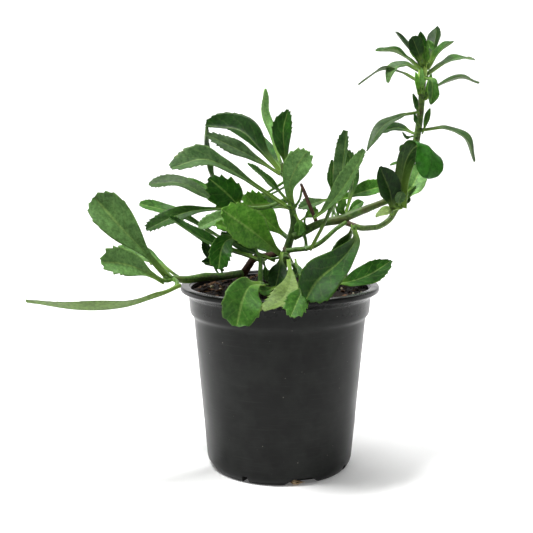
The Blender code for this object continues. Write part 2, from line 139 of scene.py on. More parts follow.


# Midlines, routes and radii are in millimetres, from the middle of the pot's base. The leaves in
# LEAVES have the names of their CAD nodes, and each group in SMALL_LEAVES is one piece. A leaf's
# tint is partly its own tone and partly painted light and shade.
LEAVES = {
    # low shoot on the left
    "leaf_low_broad": Leaf(
        [(-85, -36, 156), (-99, -42, 174), (-116, -46, 194), (-136, -42, 216)],
        Tone.OLIVE, width=27, turn=18, fold=0.25, stalk=0.5, widest=0.8, tint=0.93),
    "leaf_low_front": Leaf(
        [(-88, -44, 154), (-101, -54, 164), (-114, -62, 170), (-127, -70, 172)],
        Tone.OLIVE, width=21, turn=36, fold=0.2, stalk=0.15, widest=0.68, tint=1.15),
    "leaf_low_back": Leaf(
        [(-87, -24, 158), (-101, -16, 167), (-118, -8, 170), (-137, -2, 166)],
        Tone.OLIVE, width=18, turn=55, fold=0.2, stalk=0.15, widest=0.68, tint=1.05),
    "leaf_low_narrow": Leaf(
        [(-82, -14, 155), (-96, 0, 163), (-110, 12, 169), (-128, 22, 170)],
        Tone.MID, width=12, turn=76, fold=0.1, stalk=0.3, widest=0.6, teeth=0.35, tint=1.04),
    "leaf_low_long": Leaf(
        [(-76, -46, 150), (-88, -56, 146), (-113, -66, 140), (-143, -70, 139), (-182, -66, 143)],
        Tone.OLIVE, width=22, turn=115, stalk=0.3, widest=0.6, teeth=0.35, tint=0.76),
    # middle left
    "leaf_left_stalked": Leaf(
        [(-24, 22, 166), (-47, 34, 177), (-81, 42, 196), (-99, 44, 201), (-116, 44, 205)],
        Tone.MID, width=13, turn=50, stalk=0.5, widest=0.78, teeth=0.5, tint=1.02),
    "leaf_left_band": Leaf(
        [(-14, -2, 163), (-40, -18, 175), (-60, -32, 186), (-81, -46, 201)],
        Tone.DEEP, width=17, turn=72, widest=0.62, tint=0.95),
    "leaf_left_drooped": Leaf(
        [(1, 8, 207), (-45, 2, 204), (-68, -8, 203), (-85, -18, 198), (-101, -26, 190)],
        Tone.MID, width=14, turn=42, fold=0.2, stalk=0.5, widest=0.74, tint=0.55),
    "leaf_left_long": Leaf(
        [(-14, 18, 204), (-52, 24, 210), (-79, 28, 223), (-106, 30, 222)],
        Tone.OLIVE, width=15, turn=48, stalk=0.3, widest=0.76, tint=0.45),
    "leaf_left_dark": Leaf(
        [(-30, -14, 205), (-38, -24, 215), (-53, -34, 229)],
        Tone.DARK, width=24, turn=0, fold=0.2, stalk=0.1, widest=0.6, teeth=1.5, tint=1.8),
    "leaf_left_upright": Leaf(
        [(-38, 28, 212), (-55, 38, 228), (-60, 46, 251), (-60, 50, 270)],
        Tone.MID, width=14, turn=75, widest=0.6, tint=0.55),
    "leaf_left_nodding": Leaf(
        [(-26, -18, 183), (-39, -28, 183), (-44, -36, 176), (-46, -40, 162)],
        Tone.DEEP, width=17, turn=10, fold=0.2, stalk=0.1, widest=0.7, tint=1.1),
    "leaf_left_under": Leaf(
        [(-6, -8, 165), (-27, -16, 175), (-45, -20, 187)],
        Tone.DEEP, width=14, turn=60, stalk=0.15, widest=0.6, tint=0.55),
    # upper left
    "leaf_upper_arched": Leaf(
        [(5, -5, 206), (-21, -16, 224), (-43, -28, 239), (-59, -36, 244), (-80, -44, 237)],
        Tone.GREY, width=21, turn=50, fold=0.2, stalk=0.4, widest=0.74, tint=0.81),
    "leaf_upper_broad": Leaf(
        [(1, 10, 231), (-14, 18, 249), (-32, 28, 267), (-60, 38, 270)],
        Tone.DEEP, width=22, turn=42, fold=0.3, widest=0.7, tint=0.55),
    "leaf_upper_grey": Leaf(
        [(-2, -2, 232), (-19, -6, 243), (-36, -8, 252), (-56, -8, 261)],
        Tone.GREY, width=14, turn=42, tint=0.55),
    "leaf_upper_narrow": Leaf(
        [(6, -10, 211), (-8, -22, 226), (-24, -34, 240)],
        Tone.MID, width=9, turn=62, fold=0.1, widest=0.55, tint=0.87),
    "leaf_upper_pale": Leaf(
        [(0, 10, 242), (-6, 18, 259), (-12, 28, 281), (-11, 36, 298)],
        Tone.OLIVE, width=13, turn=58, fold=0.2, widest=0.6, teeth=0.35, tint=1.85),
    "leaf_upper_dark": Leaf(
        [(5, 0, 236), (3, -6, 249), (2, -8, 265), (6, -6, 280)],
        Tone.DEEP, width=16, turn=22, fold=0.25, stalk=0.15, widest=0.62, tint=0.86),
    # centre
    "leaf_centre_light": Leaf(
        [(10, -8, 207), (7, -16, 223), (12, -22, 237), (20, -26, 249)],
        Tone.OLIVE, width=20, turn=8, stalk=0.15, widest=0.72, tint=1.5),
    "leaf_centre_broad": Leaf(
        [(0, -12, 170), (-13, -28, 183), (-25, -42, 194), (-42, -58, 208)],
        Tone.BRIGHT, width=27, turn=16, fold=0.2, stalk=0.1, tint=1.5),
    "leaf_centre_back": Leaf(
        [(4, 10, 182), (-9, 12, 193), (-27, 10, 215)],
        Tone.BRIGHT, width=21, turn=18, stalk=0.15, widest=0.72, tint=1.5),
    "leaf_centre_rolled": Leaf(
        [(38, 2, 211), (26, -6, 209), (14, -10, 205)],
        Tone.GREY, width=11, turn=45, fold=0.2, widest=0.6, tint=0.85),
    "leaf_centre_low": Leaf(
        [(1, -22, 170), (-1, -32, 160), (-4, -38, 147)],
        Tone.DARK, width=15, turn=15, tint=0.81),
    # right of the centre
    "leaf_right_folded": Leaf(
        [(24, -20, 176), (34, -26, 197), (43, -27, 220), (46, -24, 242), (49, -20, 264)],
        Tone.GREY, width=11.7, turn=46, fold=0.4, stalk=0.5, widest=0.74, tint=0.77),
    "leaf_right_toothed": Leaf(
        [(52, 8, 199), (58, 17, 218), (59, 25, 233), (55, 30, 249)],
        Tone.MID, width=13, turn=35, fold=0.2, tint=0.55),
    "leaf_right_diagonal": Leaf(
        [(27, -23, 200), (34, -31, 207), (48, -40, 227), (60, -46, 250)],
        Tone.OLIVE, width=15, turn=50, fold=0.2, stalk=0.35, tint=0.79),
    "leaf_right_level": Leaf(
        [(42, 9, 207), (57, 21, 213), (74, 30, 218), (89, 38, 221)],
        Tone.MID, width=15, turn=42, fold=0.2, teeth=0.7, tint=1.6),
    # tall shoot
    "leaf_shoot_dark": Leaf(
        [(86, -8, 202), (84, -14, 218), (75, -20, 237)],
        Tone.DARK, width=18.7, turn=12, fold=0.2, stalk=0.15, widest=0.6, teeth=0.0, tint=0.71),
    "leaf_shoot_recurved": Leaf(
        [(93, -5, 208), (93, -10, 226), (96, -14, 243), (102, -20, 252),
         (109, -29, 250), (110, -35, 240), (107, -36, 229)],
        Tone.GLOSSY, width=22, turn=5, widest=0.78, teeth=0.2, neck=0.5, tint=1.1),
    "leaf_shoot_olive": Leaf(
        [(99, 8, 210), (105, 16, 219), (114, 24, 237)],
        Tone.OLIVE, width=18, turn=20, stalk=0.15, teeth=0.2, tint=1.6),
    "leaf_shoot_left": Leaf(
        [(104, -2, 278), (91, -10, 275), (76, -20, 267), (64, -28, 249)],
        Tone.GREY, width=10.8, turn=58, stalk=0.25, widest=0.62, teeth=0.2, tint=0.55),
    "leaf_shoot_back": Leaf(
        [(105, 8, 262), (94, 22, 267), (81, 34, 264)],
        Tone.DEEP, width=10.4, turn=52, widest=0.62, teeth=0.2, tint=0.55),
    "leaf_shoot_right": Leaf(
        [(111, 0, 265), (125, -10, 266), (139, -18, 259), (145, -24, 241)],
        Tone.GREY, width=12.8, turn=60, stalk=0.25, teeth=0.2, tint=0.79),
    # whorl at the top of the tall shoot
    "leaf_top_far_left": Leaf(
        [(105, 4, 303), (93, 12, 310), (79, 22, 312), (63, 30, 301)],
        Tone.MID, width=13, turn=86, fold=0.1, widest=0.6, teeth=0.15, neck=0.32, tint=0.55),
    "leaf_top_left": Leaf(
        [(106, -1, 312), (95, -8, 319), (84, -16, 323), (70, -24, 322)],
        Tone.MID, width=13, turn=74, widest=0.6, teeth=0.15, neck=0.32, tint=0.81),
    "leaf_top_up_left": Leaf(
        [(108, 5, 316), (101, 12, 327), (91, 22, 341)],
        Tone.DARK, width=12, turn=68, stalk=0.15, widest=0.6, teeth=0.15, neck=0.32, tint=0.55),
    "leaf_top_facing": Leaf(
        [(107, -3, 316), (103, -8, 324), (98, -13, 333)],
        Tone.DARK, width=11.9, turn=8, stalk=0.1, teeth=0.15, neck=0.32, tint=0.87),
    "leaf_top_up_right": Leaf(
        [(113, 5, 317), (119, 14, 330), (123, 22, 345)],
        Tone.MID, width=13, turn=52, fold=0.2, stalk=0.15, widest=0.6, teeth=0.15, neck=0.32, tint=0.38),
    "leaf_top_right": Leaf(
        [(114, 1, 313), (120, -6, 324), (129, -12, 330)],
        Tone.MID, width=12, turn=76, stalk=0.15, widest=0.55, teeth=0.15, neck=0.32, tint=0.85),
    "leaf_top_far_right": Leaf(
        [(113, 6, 307), (129, 16, 317), (143, 26, 322), (156, 34, 321)],
        Tone.MID, width=14, turn=72, widest=0.6, teeth=0.15, neck=0.32, tint=0.95),
    "leaf_top_level": Leaf(
        [(113, 1, 290), (117, -7, 297), (133, -21, 303), (144, -32, 298)],
        Tone.MID, width=13, turn=84, fold=0.1, widest=0.6, teeth=0.15, neck=0.32, tint=0.55),
    "leaf_top_hanging": Leaf(
        [(111, -3, 304), (113, -15, 301), (113, -20, 292), (112, -20, 283)],
        Tone.MID, width=11.0, turn=28, stalk=0.1, widest=0.62, teeth=0.15, neck=0.32, tint=1.2),
    # over the pot's rim
    "leaf_rim_left": Leaf(
        [(-14, -54, 153), (-22, -74, 155), (-27, -88, 146), (-31, -92, 130)],
        Tone.MID, width=28, turn=4, stalk=0.12, teeth=0.55),
    "leaf_rim_pale": Leaf(
        [(6, -46, 168), (7, -58, 158), (2, -78, 149), (-12, -92, 141)],
        Tone.PALE, width=17.2, turn=38, widest=0.7, twist=18, tint=0.63),
    "leaf_rim_centre": Leaf(
        [(16, -68, 153), (12, -86, 149), (6, -98, 138)],
        Tone.MID, width=16, turn=10, stalk=0.12, tint=1.06),
    "leaf_rim_broad": Leaf(
        [(56, -14, 190), (56, -30, 182), (44, -52, 171), (27, -76, 161), (17, -91, 149)],
        Tone.DEEP, width=28, turn=12, fold=0.25, stalk=0.25, widest=0.82, tint=0.79),
    "leaf_rim_right": Leaf(
        [(40, -20, 148), (54, -20, 150), (70, -14, 155), (87, -6, 164)],
        Tone.DEEP, width=19, turn=38, widest=0.6, teeth=0.35, tint=1.6),
}

SMALL_LEAVES = {
    "leaves_centre_small": (
        Leaf([(13, -8, 198), (15, -12, 192), (14, -14, 184)],
             Tone.MID, width=9, turn=10, fold=0.2, stalk=0.15, widest=0.62),
        Leaf([(18, -10, 197), (23, -13, 201), (29, -15, 204)],
             Tone.BRIGHT, width=8, turn=20, fold=0.2, stalk=0.15),
        Leaf([(41, -4, 214), (39, -4, 226), (40, -4, 242)],
             Tone.MID, width=7, turn=30, fold=0.2, widest=0.6),
        Leaf([(53, 0, 197), (47, -4, 204), (49, -6, 212)],
             Tone.BRIGHT, width=9, turn=25, fold=0.2, stalk=0.15),
        Leaf([(52, 4, 199), (59, 8, 205), (66, 10, 209)],
             Tone.MID, width=8, turn=35, fold=0.2),
    ),
    "leaves_left_small": (
        Leaf([(-32, 30, 210), (-60, 34, 218), (-83, 36, 225)],
             Tone.MID, width=11, turn=52, stalk=0.3),
        Leaf([(-14, 14, 188), (-41, 10, 197), (-64, 4, 189)],
             Tone.OLIVE, width=13, turn=35, stalk=0.25),
        Leaf([(-34, -2, 186), (-42, -6, 190), (-50, -8, 193)],
             Tone.BRIGHT, width=9, turn=38, stalk=0.15),
        Leaf([(-99, -20, 165), (-104, -16, 174), (-106, -12, 182)],
             Tone.MID, width=5, turn=60, fold=0.1, widest=0.6),
    ),
    "leaves_shoot_small": (
        Leaf([(92, -8, 205), (83, -12, 204), (73, -16, 199)],
             Tone.PALE, width=9, turn=55, widest=0.6, teeth=0.2),
        Leaf([(92, -8, 207), (91, -14, 212), (93, -16, 218)],
             Tone.GREY, width=8, turn=10, stalk=0.15, teeth=0.2),
        Leaf([(94, 4, 206), (99, 8, 209), (103, 10, 212)],
             Tone.DEEP, width=6, turn=40, fold=0.1, widest=0.6, teeth=0.2),
        Leaf([(106, -1, 278), (103, -4, 284), (101, -5, 292)],
             Tone.DEEP, width=5, turn=35, fold=0.3, stalk=0.1, widest=0.55, teeth=0.2),
        Leaf([(110, -2, 264), (112, -5, 272), (114, -6, 281)],
             Tone.MID, width=5, turn=35, fold=0.3, stalk=0.1, widest=0.55, teeth=0.2),
        Leaf([(107, -2, 268), (103, -6, 272), (102, -7, 277)],
             Tone.DEEP, width=4, turn=35, fold=0.3, stalk=0.1, widest=0.55, teeth=0.2),
        Leaf([(103, 0, 254), (96, -6, 252), (91, -8, 249)],
             Tone.DEEP, width=6, turn=50, widest=0.6, teeth=0.2),
        Leaf([(101, 0, 239), (93, -4, 240), (84, -6, 238)],
             Tone.MID, width=4, turn=60, fold=0.1, widest=0.55, teeth=0.2),
        Leaf([(102, -3, 260), (96, -8, 259), (93, -10, 263)],
             Tone.MID, width=4, turn=50, fold=0.1, widest=0.55, teeth=0.2),
    ),
    "leaves_top_small": (
        Leaf([(107, 6, 310), (97, 10, 315), (88, 12, 312), (84, 10, 301)],
             Tone.GREY, width=12, turn=58, stalk=0.25, widest=0.7, teeth=0.15, neck=0.32),
        Leaf([(109, 3, 315), (108, 4, 327), (107, 4, 339)],
             Tone.DEEP, width=8, turn=10, fold=0.3, stalk=0.1, widest=0.55, teeth=0.15, neck=0.32),
        Leaf([(110, 0, 313), (110, -3, 320), (109, -4, 327)],
             Tone.BRIGHT, width=6, turn=10, fold=0.4, stalk=0.1, widest=0.5, teeth=0.15, neck=0.32),
        Leaf([(112, 6, 313), (116, 12, 325), (115, 16, 334)],
             Tone.MID, width=8, turn=15, fold=0.3, stalk=0.1, widest=0.55, teeth=0.15, neck=0.32),
        Leaf([(108, 1, 312), (103, -2, 319), (98, -3, 324)],
             Tone.BRIGHT, width=6, turn=40, fold=0.3, stalk=0.1, widest=0.55, teeth=0.15, neck=0.32),
        # these three hub scales have a tint of 2.7: partly their own pale green and partly painted light
        Leaf([(112, 1, 292), (114, -1, 299), (115, -2, 307)],
             Tone.BRIGHT, width=4.2, turn=20, fold=0.5, stalk=0.1, widest=0.45,
             teeth=0.0, neck=0.6, tint=2.7),
        Leaf([(106, 1, 294), (104, -1, 301), (103, -3, 308)],
             Tone.BRIGHT, width=4.2, turn=20, fold=0.5, stalk=0.1, widest=0.45,
             teeth=0.0, neck=0.6, tint=2.7),
        Leaf([(109, 0, 295), (108, -2, 303), (107, -4, 311)],
             Tone.OLIVE, width=4.2, turn=0, fold=0.5, stalk=0.1, widest=0.45,
             teeth=0.0, neck=0.6, tint=2.7),
    ),
    "leaves_soil_small": (
        Leaf([(-5, -40, 148), (-11, -46, 147), (-18, -50, 149)],
             Tone.MID, width=11, turn=55, fold=0.2, stalk=0.15),
        Leaf([(-51, 6, 156), (-56, 4, 167), (-61, 2, 178)],
             Tone.DARK, width=8, turn=35, fold=0.3, widest=0.62),
        Leaf([(-46, 4, 156), (-53, 0, 161), (-61, -4, 163)],
             Tone.DARK, width=7, turn=45, fold=0.2, widest=0.62),
        Leaf([(12, -20, 165), (13, -26, 159), (10, -28, 154)],
             Tone.GREY, width=9, turn=20, fold=0.2, stalk=0.15, widest=0.62),
        Leaf([(-12, -10, 162), (-11, -14, 156), (-10, -16, 149)],
             Tone.MID, width=6, turn=20, fold=0.2, stalk=0.15, widest=0.6),
    ),
    "leaves_back": (
        Leaf([(8, 4, 204), (-8, 30, 205), (-24, 54, 206)],
             Tone.MID, width=15, turn=60, fold=0.2, stalk=0.25, widest=0.7),
        Leaf([(97, 4, 214), (110, 26, 225), (119, 42, 239)],
             Tone.DEEP, width=15, turn=35, fold=0.2, widest=0.7),
        Leaf([(89, 4, 204), (88, 24, 215), (86, 38, 225)],
             Tone.MID, width=14, turn=35, fold=0.2),
        Leaf([(3, 8, 232), (-9, 34, 248), (-24, 56, 263)],
             Tone.DEEP, width=15, turn=55, fold=0.2, stalk=0.25, widest=0.7),
        Leaf([(57, 0, 189), (55, 28, 174), (47, 50, 153)],
             Tone.MID, width=16, turn=50, fold=0.2, widest=0.7),
        Leaf([(3, 6, 166), (-12, 34, 171), (-29, 58, 179)],
             Tone.DEEP, width=17, turn=50, fold=0.2, widest=0.7),
        Leaf([(-86, -20, 154), (-108, 0, 170), (-131, 16, 194)],
             Tone.MID, width=15, turn=45, fold=0.2, stalk=0.3, widest=0.74),
    ),
}

STEMS = (
    Stem("stem_main",
         [(1, 4, 150), (4, 3, 166), (8, 2, 179), (11, 0, 191),
          (10, 0, 202), (6, 3, 218), (2, 6, 237)],
         [3.8, 3.3, 3.1, 3.0, 2.8, 2.1, 1.4], Bark.OLIVE, root_reach=5.0, tip_reach=1.0),
    Stem("stem_left_low",
         [(-32, 20, 150), (-46, 4, 150), (-58, -12, 152), (-70, -25, 152),
          (-81, -33, 154)],
         [2.9, 3.1, 3.3, 3.0, 2.2], Bark.OLIVE, root_reach=6.0, tip_reach=7.0),
    Stem("stem_woody_stump", [(-30, 24, 148), (-25, 20, 156), (-20, 14, 163), (-9, 10, 166)],
         [3.4, 3.1, 2.9, 2.4], Bark.WOODY, root_reach=5.0, tip_reach=9.0),
    Stem("stem_green_basal", [(-15, -22, 148), (-15, -20, 155), (-15, -17, 164)],
         [2.1, 2.0, 1.6], Bark.GREEN, root_reach=5.0, tip_reach=4.0),
    Stem("stem_right_branch",
         [(16, -3, 185), (31, -6, 193), (46, -6, 196), (62, -4, 202), (78, 0, 208)],
         [3.2, 3.2, 3.4, 3.1, 2.6], Bark.OLIVE, root_reach=6.0, tip_reach=13.0),
    Stem("stem_curved",
         [(56, -8, 192), (62, -10, 190), (69, -10, 190), (77, -8, 191),
          (85, -5, 196), (90, -1, 203), (92, 0, 206)],
         [2.2, 2.3, 2.2, 2.2, 2.3, 2.3, 2.6], Bark.PURPLE, root_reach=7.0, tip_reach=4.0),
    Stem("stem_tall_shoot",
         [(93, 1, 209), (98, 2, 226), (104, 3, 249), (107, 3, 265),
          (109, 3, 288), (109, 3, 300), (110, 3, 313)],
         [2.9, 2.8, 2.8, 2.7, 2.6, 3.0, 2.2], Bark.PURPLE, root_reach=3.0, tip_reach=2.0),
    Stem("stem_arch", [(12, -9, 173), (23, -13, 175), (32, -15, 180), (42, -15, 189), (47, -12, 192)],
         [2.0, 1.9, 1.8, 1.7, 1.6], Bark.GREEN, root_reach=7.0, tip_reach=5.0),
    Stem("stem_red_twig", [(26, -20, 199), (23, -22, 206), (19, -23, 216), (16, -24, 223)],
         [1.4, 1.5, 1.4, 1.1], Bark.WOODY, root_reach=3.0, tip_reach=1.0),
    Stem("shoot_hub", [(109, 3, 286), (109, 3, 296), (109, 3, 305), (110, 3, 313), (110, 4, 321)],
         [2.2, 2.7, 3.5, 3.3, 1.4], Bark.FRESH, node=False),
    Stem("twig_thin", [(5, -6, 171), (9, -12, 164), (13, -20, 156)],
         [1.5, 1.2, 1.0], Bark.PURPLE, root_reach=4.0, tip_reach=6.0, node=False),
    Stem("twig_middle", [(18, -6, 186), (20, -8, 180), (20, -13, 174)],
         [1.5, 1.3, 1.4], Bark.GREEN, root_reach=3.0, tip_reach=1.0, node=False),
    Stem("twig_curved", [(16, -22, 220), (15, -18, 213), (12, -10, 207)],
         [0.8, 0.9, 1.0], Bark.GREEN, root_reach=1.0, tip_reach=6.0, node=False),
)


# ---------------------------------------------------------------- small helpers


def linear(code: str) -> Colour:
    """Turn an sRGB hex colour into a linear RGBA tuple.

    Args:
        code: Six hex digits after a #.

    Returns:
        Red, green, blue and alpha for a shader socket.
    """
    shares = [int(code[i:i + 2], 16) / 255 for i in (1, 3, 5)]
    straight = [c / 12.92 if c <= 0.04045 else ((c + 0.055) / 1.055) ** 2.4 for c in shares]
    return (*straight, 1.0)


def add_node(tree: bpy.types.NodeTree, kind: str, links: dict[int | str, Any] | None = None,
             **settings: Any) -> bpy.types.Node:
    """Add a shader node, set its properties and fill or link its inputs.

    Args:
        tree: The material's node tree.
        kind: The node's type name.
        links: Input name or index to a value, a node's output, or a node with one output in use.
        **settings: Properties of the node itself.

    Returns:
        The new node.
    """
    node = tree.nodes.new(kind)
    for name, value in settings.items():
        setattr(node, name, value)
    for key, value in (links or {}).items():
        if isinstance(value, bpy.types.Node):
            value = next(socket for socket in value.outputs if socket.enabled)
        if isinstance(value, bpy.types.NodeSocket):
            tree.links.new(value, node.inputs[key])
        else:
            node.inputs[key].default_value = value
    return node


def new_material(name: str) -> tuple[bpy.types.Material, bpy.types.NodeTree, bpy.types.Node,
                                     bpy.types.NodeSocket]:
    """Make a material with an empty node tree.

    Args:
        name: What the material is and how its surface was made.

    Returns:
        The material, its tree, its Principled shader and its object coordinates.
    """
    material = bpy.data.materials.new(name)
    material.use_nodes = True
    tree = material.node_tree
    tree.nodes.clear()
    shader = add_node(tree, "ShaderNodeBsdfPrincipled")
    add_node(tree, "ShaderNodeOutputMaterial", {"Surface": shader.outputs[0]})
    place = add_node(tree, "ShaderNodeTexCoord").outputs["Object"]
    return material, tree, shader, place


def deselect() -> None:
    """Deselect every object, so that an operator acts on new pieces only."""
    for item in bpy.context.selected_objects:
        item.select_set(False)


def select_only(item: bpy.types.Object) -> None:
    """Select one object and make it the active one.

    Args:
        item: The object that the next operator acts on.
    """
    deselect()
    item.select_set(True)
    bpy.context.view_layer.objects.active = item


def apply_modifier(item: bpy.types.Object, kind: str, **settings: Any) -> None:
    """Add a modifier, set it and apply it.

    Args:
        item: The object to change.
        kind: The modifier's type name.
        **settings: The modifier's properties.
    """
    select_only(item)
    modifier = item.modifiers.new(kind.title(), kind)
    for name, value in settings.items():
        setattr(modifier, name, value)
    bpy.ops.object.modifier_apply(modifier=modifier.name)


def clean_mesh(item: bpy.types.Object) -> None:
    """Merge doubled points and turn the faces outwards.

    Args:
        item: The mesh object to clean.
    """
    select_only(item)
    bpy.ops.object.mode_set(mode="EDIT")
    bpy.ops.mesh.select_all(action="SELECT")
    bpy.ops.mesh.remove_doubles(threshold=0.01 * MM)
    bpy.ops.mesh.normals_make_consistent(inside=False)
    bpy.ops.object.mode_set(mode="OBJECT")


def apply_place(item: bpy.types.Object) -> None:
    """Put the object's place, turn and scale into its mesh."""
    select_only(item)
    bpy.ops.object.transform_apply(location=True, rotation=True, scale=True)


def join(items: Sequence[bpy.types.Object], name: str) -> bpy.types.Object:
    """Join several mesh objects into one.

    Args:
        items: The objects; the first one stays.
        name: The joined object's name.

    Returns:
        The joined object.
    """
    select_only(items[0])
    for item in items:
        item.select_set(True)
    bpy.ops.object.join()
    items[0].name = name
    items[0].data.name = name
    return items[0]


def finish_piece(item: bpy.types.Object, material: bpy.types.Material,
                 nodes: Sequence[str] = ()) -> None:
    """Dress a piece, let it ride on the body and report it.

    Args:
        item: The finished piece.
        material: Its finish.
        nodes: The CAD nodes that it stands for.
    """
    item.data.materials.clear()
    item.data.materials.append(material)
    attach(item, BODY)
    if nodes:
        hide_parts(*nodes)
    LOG.info("%s: %d faces", item.name, len(item.data.polygons))


def points_of(item: bpy.types.Object) -> np.ndarray:
    """Read a mesh's points.

    Args:
        item: The mesh object.

    Returns:
        Rows of x, y and z in metres.
    """
    flat = np.zeros(len(item.data.vertices) * 3)
    item.data.vertices.foreach_get("co", flat)
    return flat.reshape(-1, 3)


def move_points(item: bpy.types.Object, points: np.ndarray) -> None:
    """Write a mesh's points back."""
    item.data.vertices.foreach_set("co", points.reshape(-1))
    item.data.update()


def ease(values: np.ndarray, start: float, end: float) -> np.ndarray:
    """Rise smoothly from 0 to 1, with level ends."""
    t = np.clip((values - start) / (end - start), 0.0, 1.0)
    return t * t * (3 - 2 * t)


def along_route(points: Sequence[Point], shares: np.ndarray) -> np.ndarray:
    """Read a Catmull-Rom curve through the points.

    Args:
        points: The curve's own points in millimetres.
        shares: Shares of the curve, from 0 to 1.

    Returns:
        One point in metres for each share.
    """
    knots = np.array(points, float)
    knots = np.vstack([2 * knots[0] - knots[1], knots, 2 * knots[-1] - knots[-2]])
    spans = len(points) - 1
    along = np.clip(shares, 0, 1) * spans
    span = np.minimum(along.astype(int), spans - 1)
    t = (along - span)[:, None]
    a, b, c, d = (knots[span + i] for i in range(4))
    point = 2 * b + (c - a) * t + (2 * a - 5 * b + 4 * c - d) * t ** 2
    return (point + (3 * b - a - 3 * c + d) * t ** 3) * 0.5 * MM


def unit(rows: np.ndarray) -> np.ndarray:
    """Scale each row to length 1."""
    return rows / np.linalg.norm(rows, axis=1)[:, None]


# ---------------------------------------------------------------- finishes


@dataclass(frozen=True)
class LeafSkin:
    """Living leaf skin, waxed and thinly haired.

    It gives the eye a satin green blade with a sunken pale midrib, faint side veins, cloudy
    patches, a dry brown nick here and there, a paler margin that is partly a painted highlight along
    the edge, and a paler, duller underside.
    """

    name: str
    deep: str
    light: str
    under: str
    vein: str = "#86a254"
    stalk: str = "#6f8f3a"
    # the margin's colour is partly the leaf's own paler edge and partly a painted highlight along it
    margin: str = "#6f8a42"
    withered: str = "#7d6a3c"
    roughness: float = 0.46
    side_veins: float = 6.0
    side_strength: float = 0.13
    midrib_strength: float = 0.4
    mottling: Pair = (0.56, 1.12)

    def veins(self, tree: bpy.types.NodeTree, across: bpy.types.Node, along: bpy.types.NodeSocket,
              patches: bpy.types.Node) -> bpy.types.Node:
        """Draw the midrib and the slanting side veins, six pairs on a leaf.

        Args:
            tree: The material's node tree.
            across: 0 on the midrib and 1 on the margin.
            along: 0 at the foot of the stalk and 1 at the tip.
            patches: A noise that makes the side veins wander.

        Returns:
            The node whose output is the strength of the vein at each point.
        """
        smooth = {"interpolation_type": "SMOOTHSTEP"}
        wander = add_node(tree, "ShaderNodeMath", {0: patches, 1: 0.9}, operation="MULTIPLY")
        lean = add_node(tree, "ShaderNodeMath", {0: across, 1: -1.7, 2: wander},
                        operation="MULTIPLY_ADD")
        count = add_node(tree, "ShaderNodeMath", {0: along, 1: self.side_veins, 2: lean},
                         operation="MULTIPLY_ADD")
        swing = add_node(tree, "ShaderNodeMath", {0: count, 1: 0.5}, operation="PINGPONG")
        line = add_node(tree, "ShaderNodeMapRange",
                        {0: swing, 1: 0.0, 2: 0.12, 3: self.side_strength, 4: 0.0}, **smooth)
        fade = add_node(tree, "ShaderNodeMapRange",
                        {0: across, 1: 0.5, 2: 0.95, 3: 1.0, 4: 0.0}, **smooth)
        side = add_node(tree, "ShaderNodeMath", {0: line, 1: fade}, operation="MULTIPLY")
        midrib = add_node(tree, "ShaderNodeMapRange",
                          {0: across, 1: 0.02, 2: 0.1, 3: self.midrib_strength, 4: 0.0}, **smooth)
        return add_node(tree, "ShaderNodeMath", {0: side, 1: midrib}, operation="MAXIMUM")

    def make(self) -> bpy.types.Material:
        """Make the leaf's material, whose pattern follows the leaf's own UV map.

        Returns:
            The material: patches of 9 mm, mottling of 2.4 mm and a skin grain of 1.2 mm, which is
            coarser than the real one so that it shows.
        """
        material, tree, shader, place = new_material(self.name)
        smooth = {"interpolation_type": "SMOOTHSTEP"}
        colours = {"data_type": "RGBA"}
        grid = add_node(tree, "ShaderNodeUVMap", uv_map="UVMap")
        split = add_node(tree, "ShaderNodeSeparateXYZ", {0: grid})
        centred = add_node(tree, "ShaderNodeMath", {0: split.outputs[0], 1: 2.0, 2: -1.0},
                           operation="MULTIPLY_ADD")
        across = add_node(tree, "ShaderNodeMath", {0: centred}, operation="ABSOLUTE")
        along = split.outputs[1]
        patches = add_node(tree, "ShaderNodeTexNoise",
                           {"Vector": place, "Scale": 1 / 0.009, "Detail": 5.0, "Roughness": 0.62})
        patches = patches.outputs[0]
        mottle = add_node(tree, "ShaderNodeTexNoise",
                          {"Vector": place, "Scale": 1 / 0.0024, "Detail": 4.0, "Roughness": 0.7})
        grain = add_node(tree, "ShaderNodeTexNoise",
                         {"Vector": place, "Scale": 1 / 0.0012, "Detail": 3.0}).outputs[0]
        veins = self.veins(tree, across, along, patches)

        # the upper face: two greens in patches, pale veins, a paler margin that is partly a painted
        # highlight, and here and there a dry brown margin
        share = add_node(tree, "ShaderNodeMapRange", {0: patches, 1: 0.27, 2: 0.73}, **smooth)
        blade = add_node(tree, "ShaderNodeMix",
                         {0: share, 6: linear(self.deep), 7: linear(self.light)}, **colours)
        veined = add_node(tree, "ShaderNodeMix", {0: veins, 6: blade, 7: linear(self.vein)}, **colours)
        # the margin is lightened: partly its own paler colour, partly a painted highlight along the edge
        margin_highlight_mask = add_node(tree, "ShaderNodeMapRange", {0: across, 1: 0.88, 2: 1.0, 4: 0.35}, **smooth)
        margin_highlighted = add_node(tree, "ShaderNodeMix", {0: margin_highlight_mask, 6: veined, 7: linear(self.margin)}, **colours)
        outer = add_node(tree, "ShaderNodeMapRange", {0: across, 1: 0.8, 2: 1.0}, **smooth)
        tip = add_node(tree, "ShaderNodeMapRange", {0: along, 1: 0.7, 2: 1.0, 3: 0.3}, **smooth)
        spots = add_node(tree, "ShaderNodeMapRange", {0: patches, 1: 0.58, 2: 0.68, 4: 0.9}, **smooth)
        far = add_node(tree, "ShaderNodeMath", {0: outer, 1: tip}, operation="MULTIPLY")
        dry = add_node(tree, "ShaderNodeMath", {0: far, 1: spots}, operation="MULTIPLY")
        upper = add_node(tree, "ShaderNodeMix", {0: dry, 6: margin_highlighted, 7: linear(self.withered)}, **colours)

        # the underside: paler, with its veins darker
        dusty = add_node(tree, "ShaderNodeMix",
                         {0: grain, 6: linear(self.under), 7: linear(self.light)}, **colours)
        below = add_node(tree, "ShaderNodeMix", {0: veins, 6: dusty, 7: linear(self.deep)}, **colours)
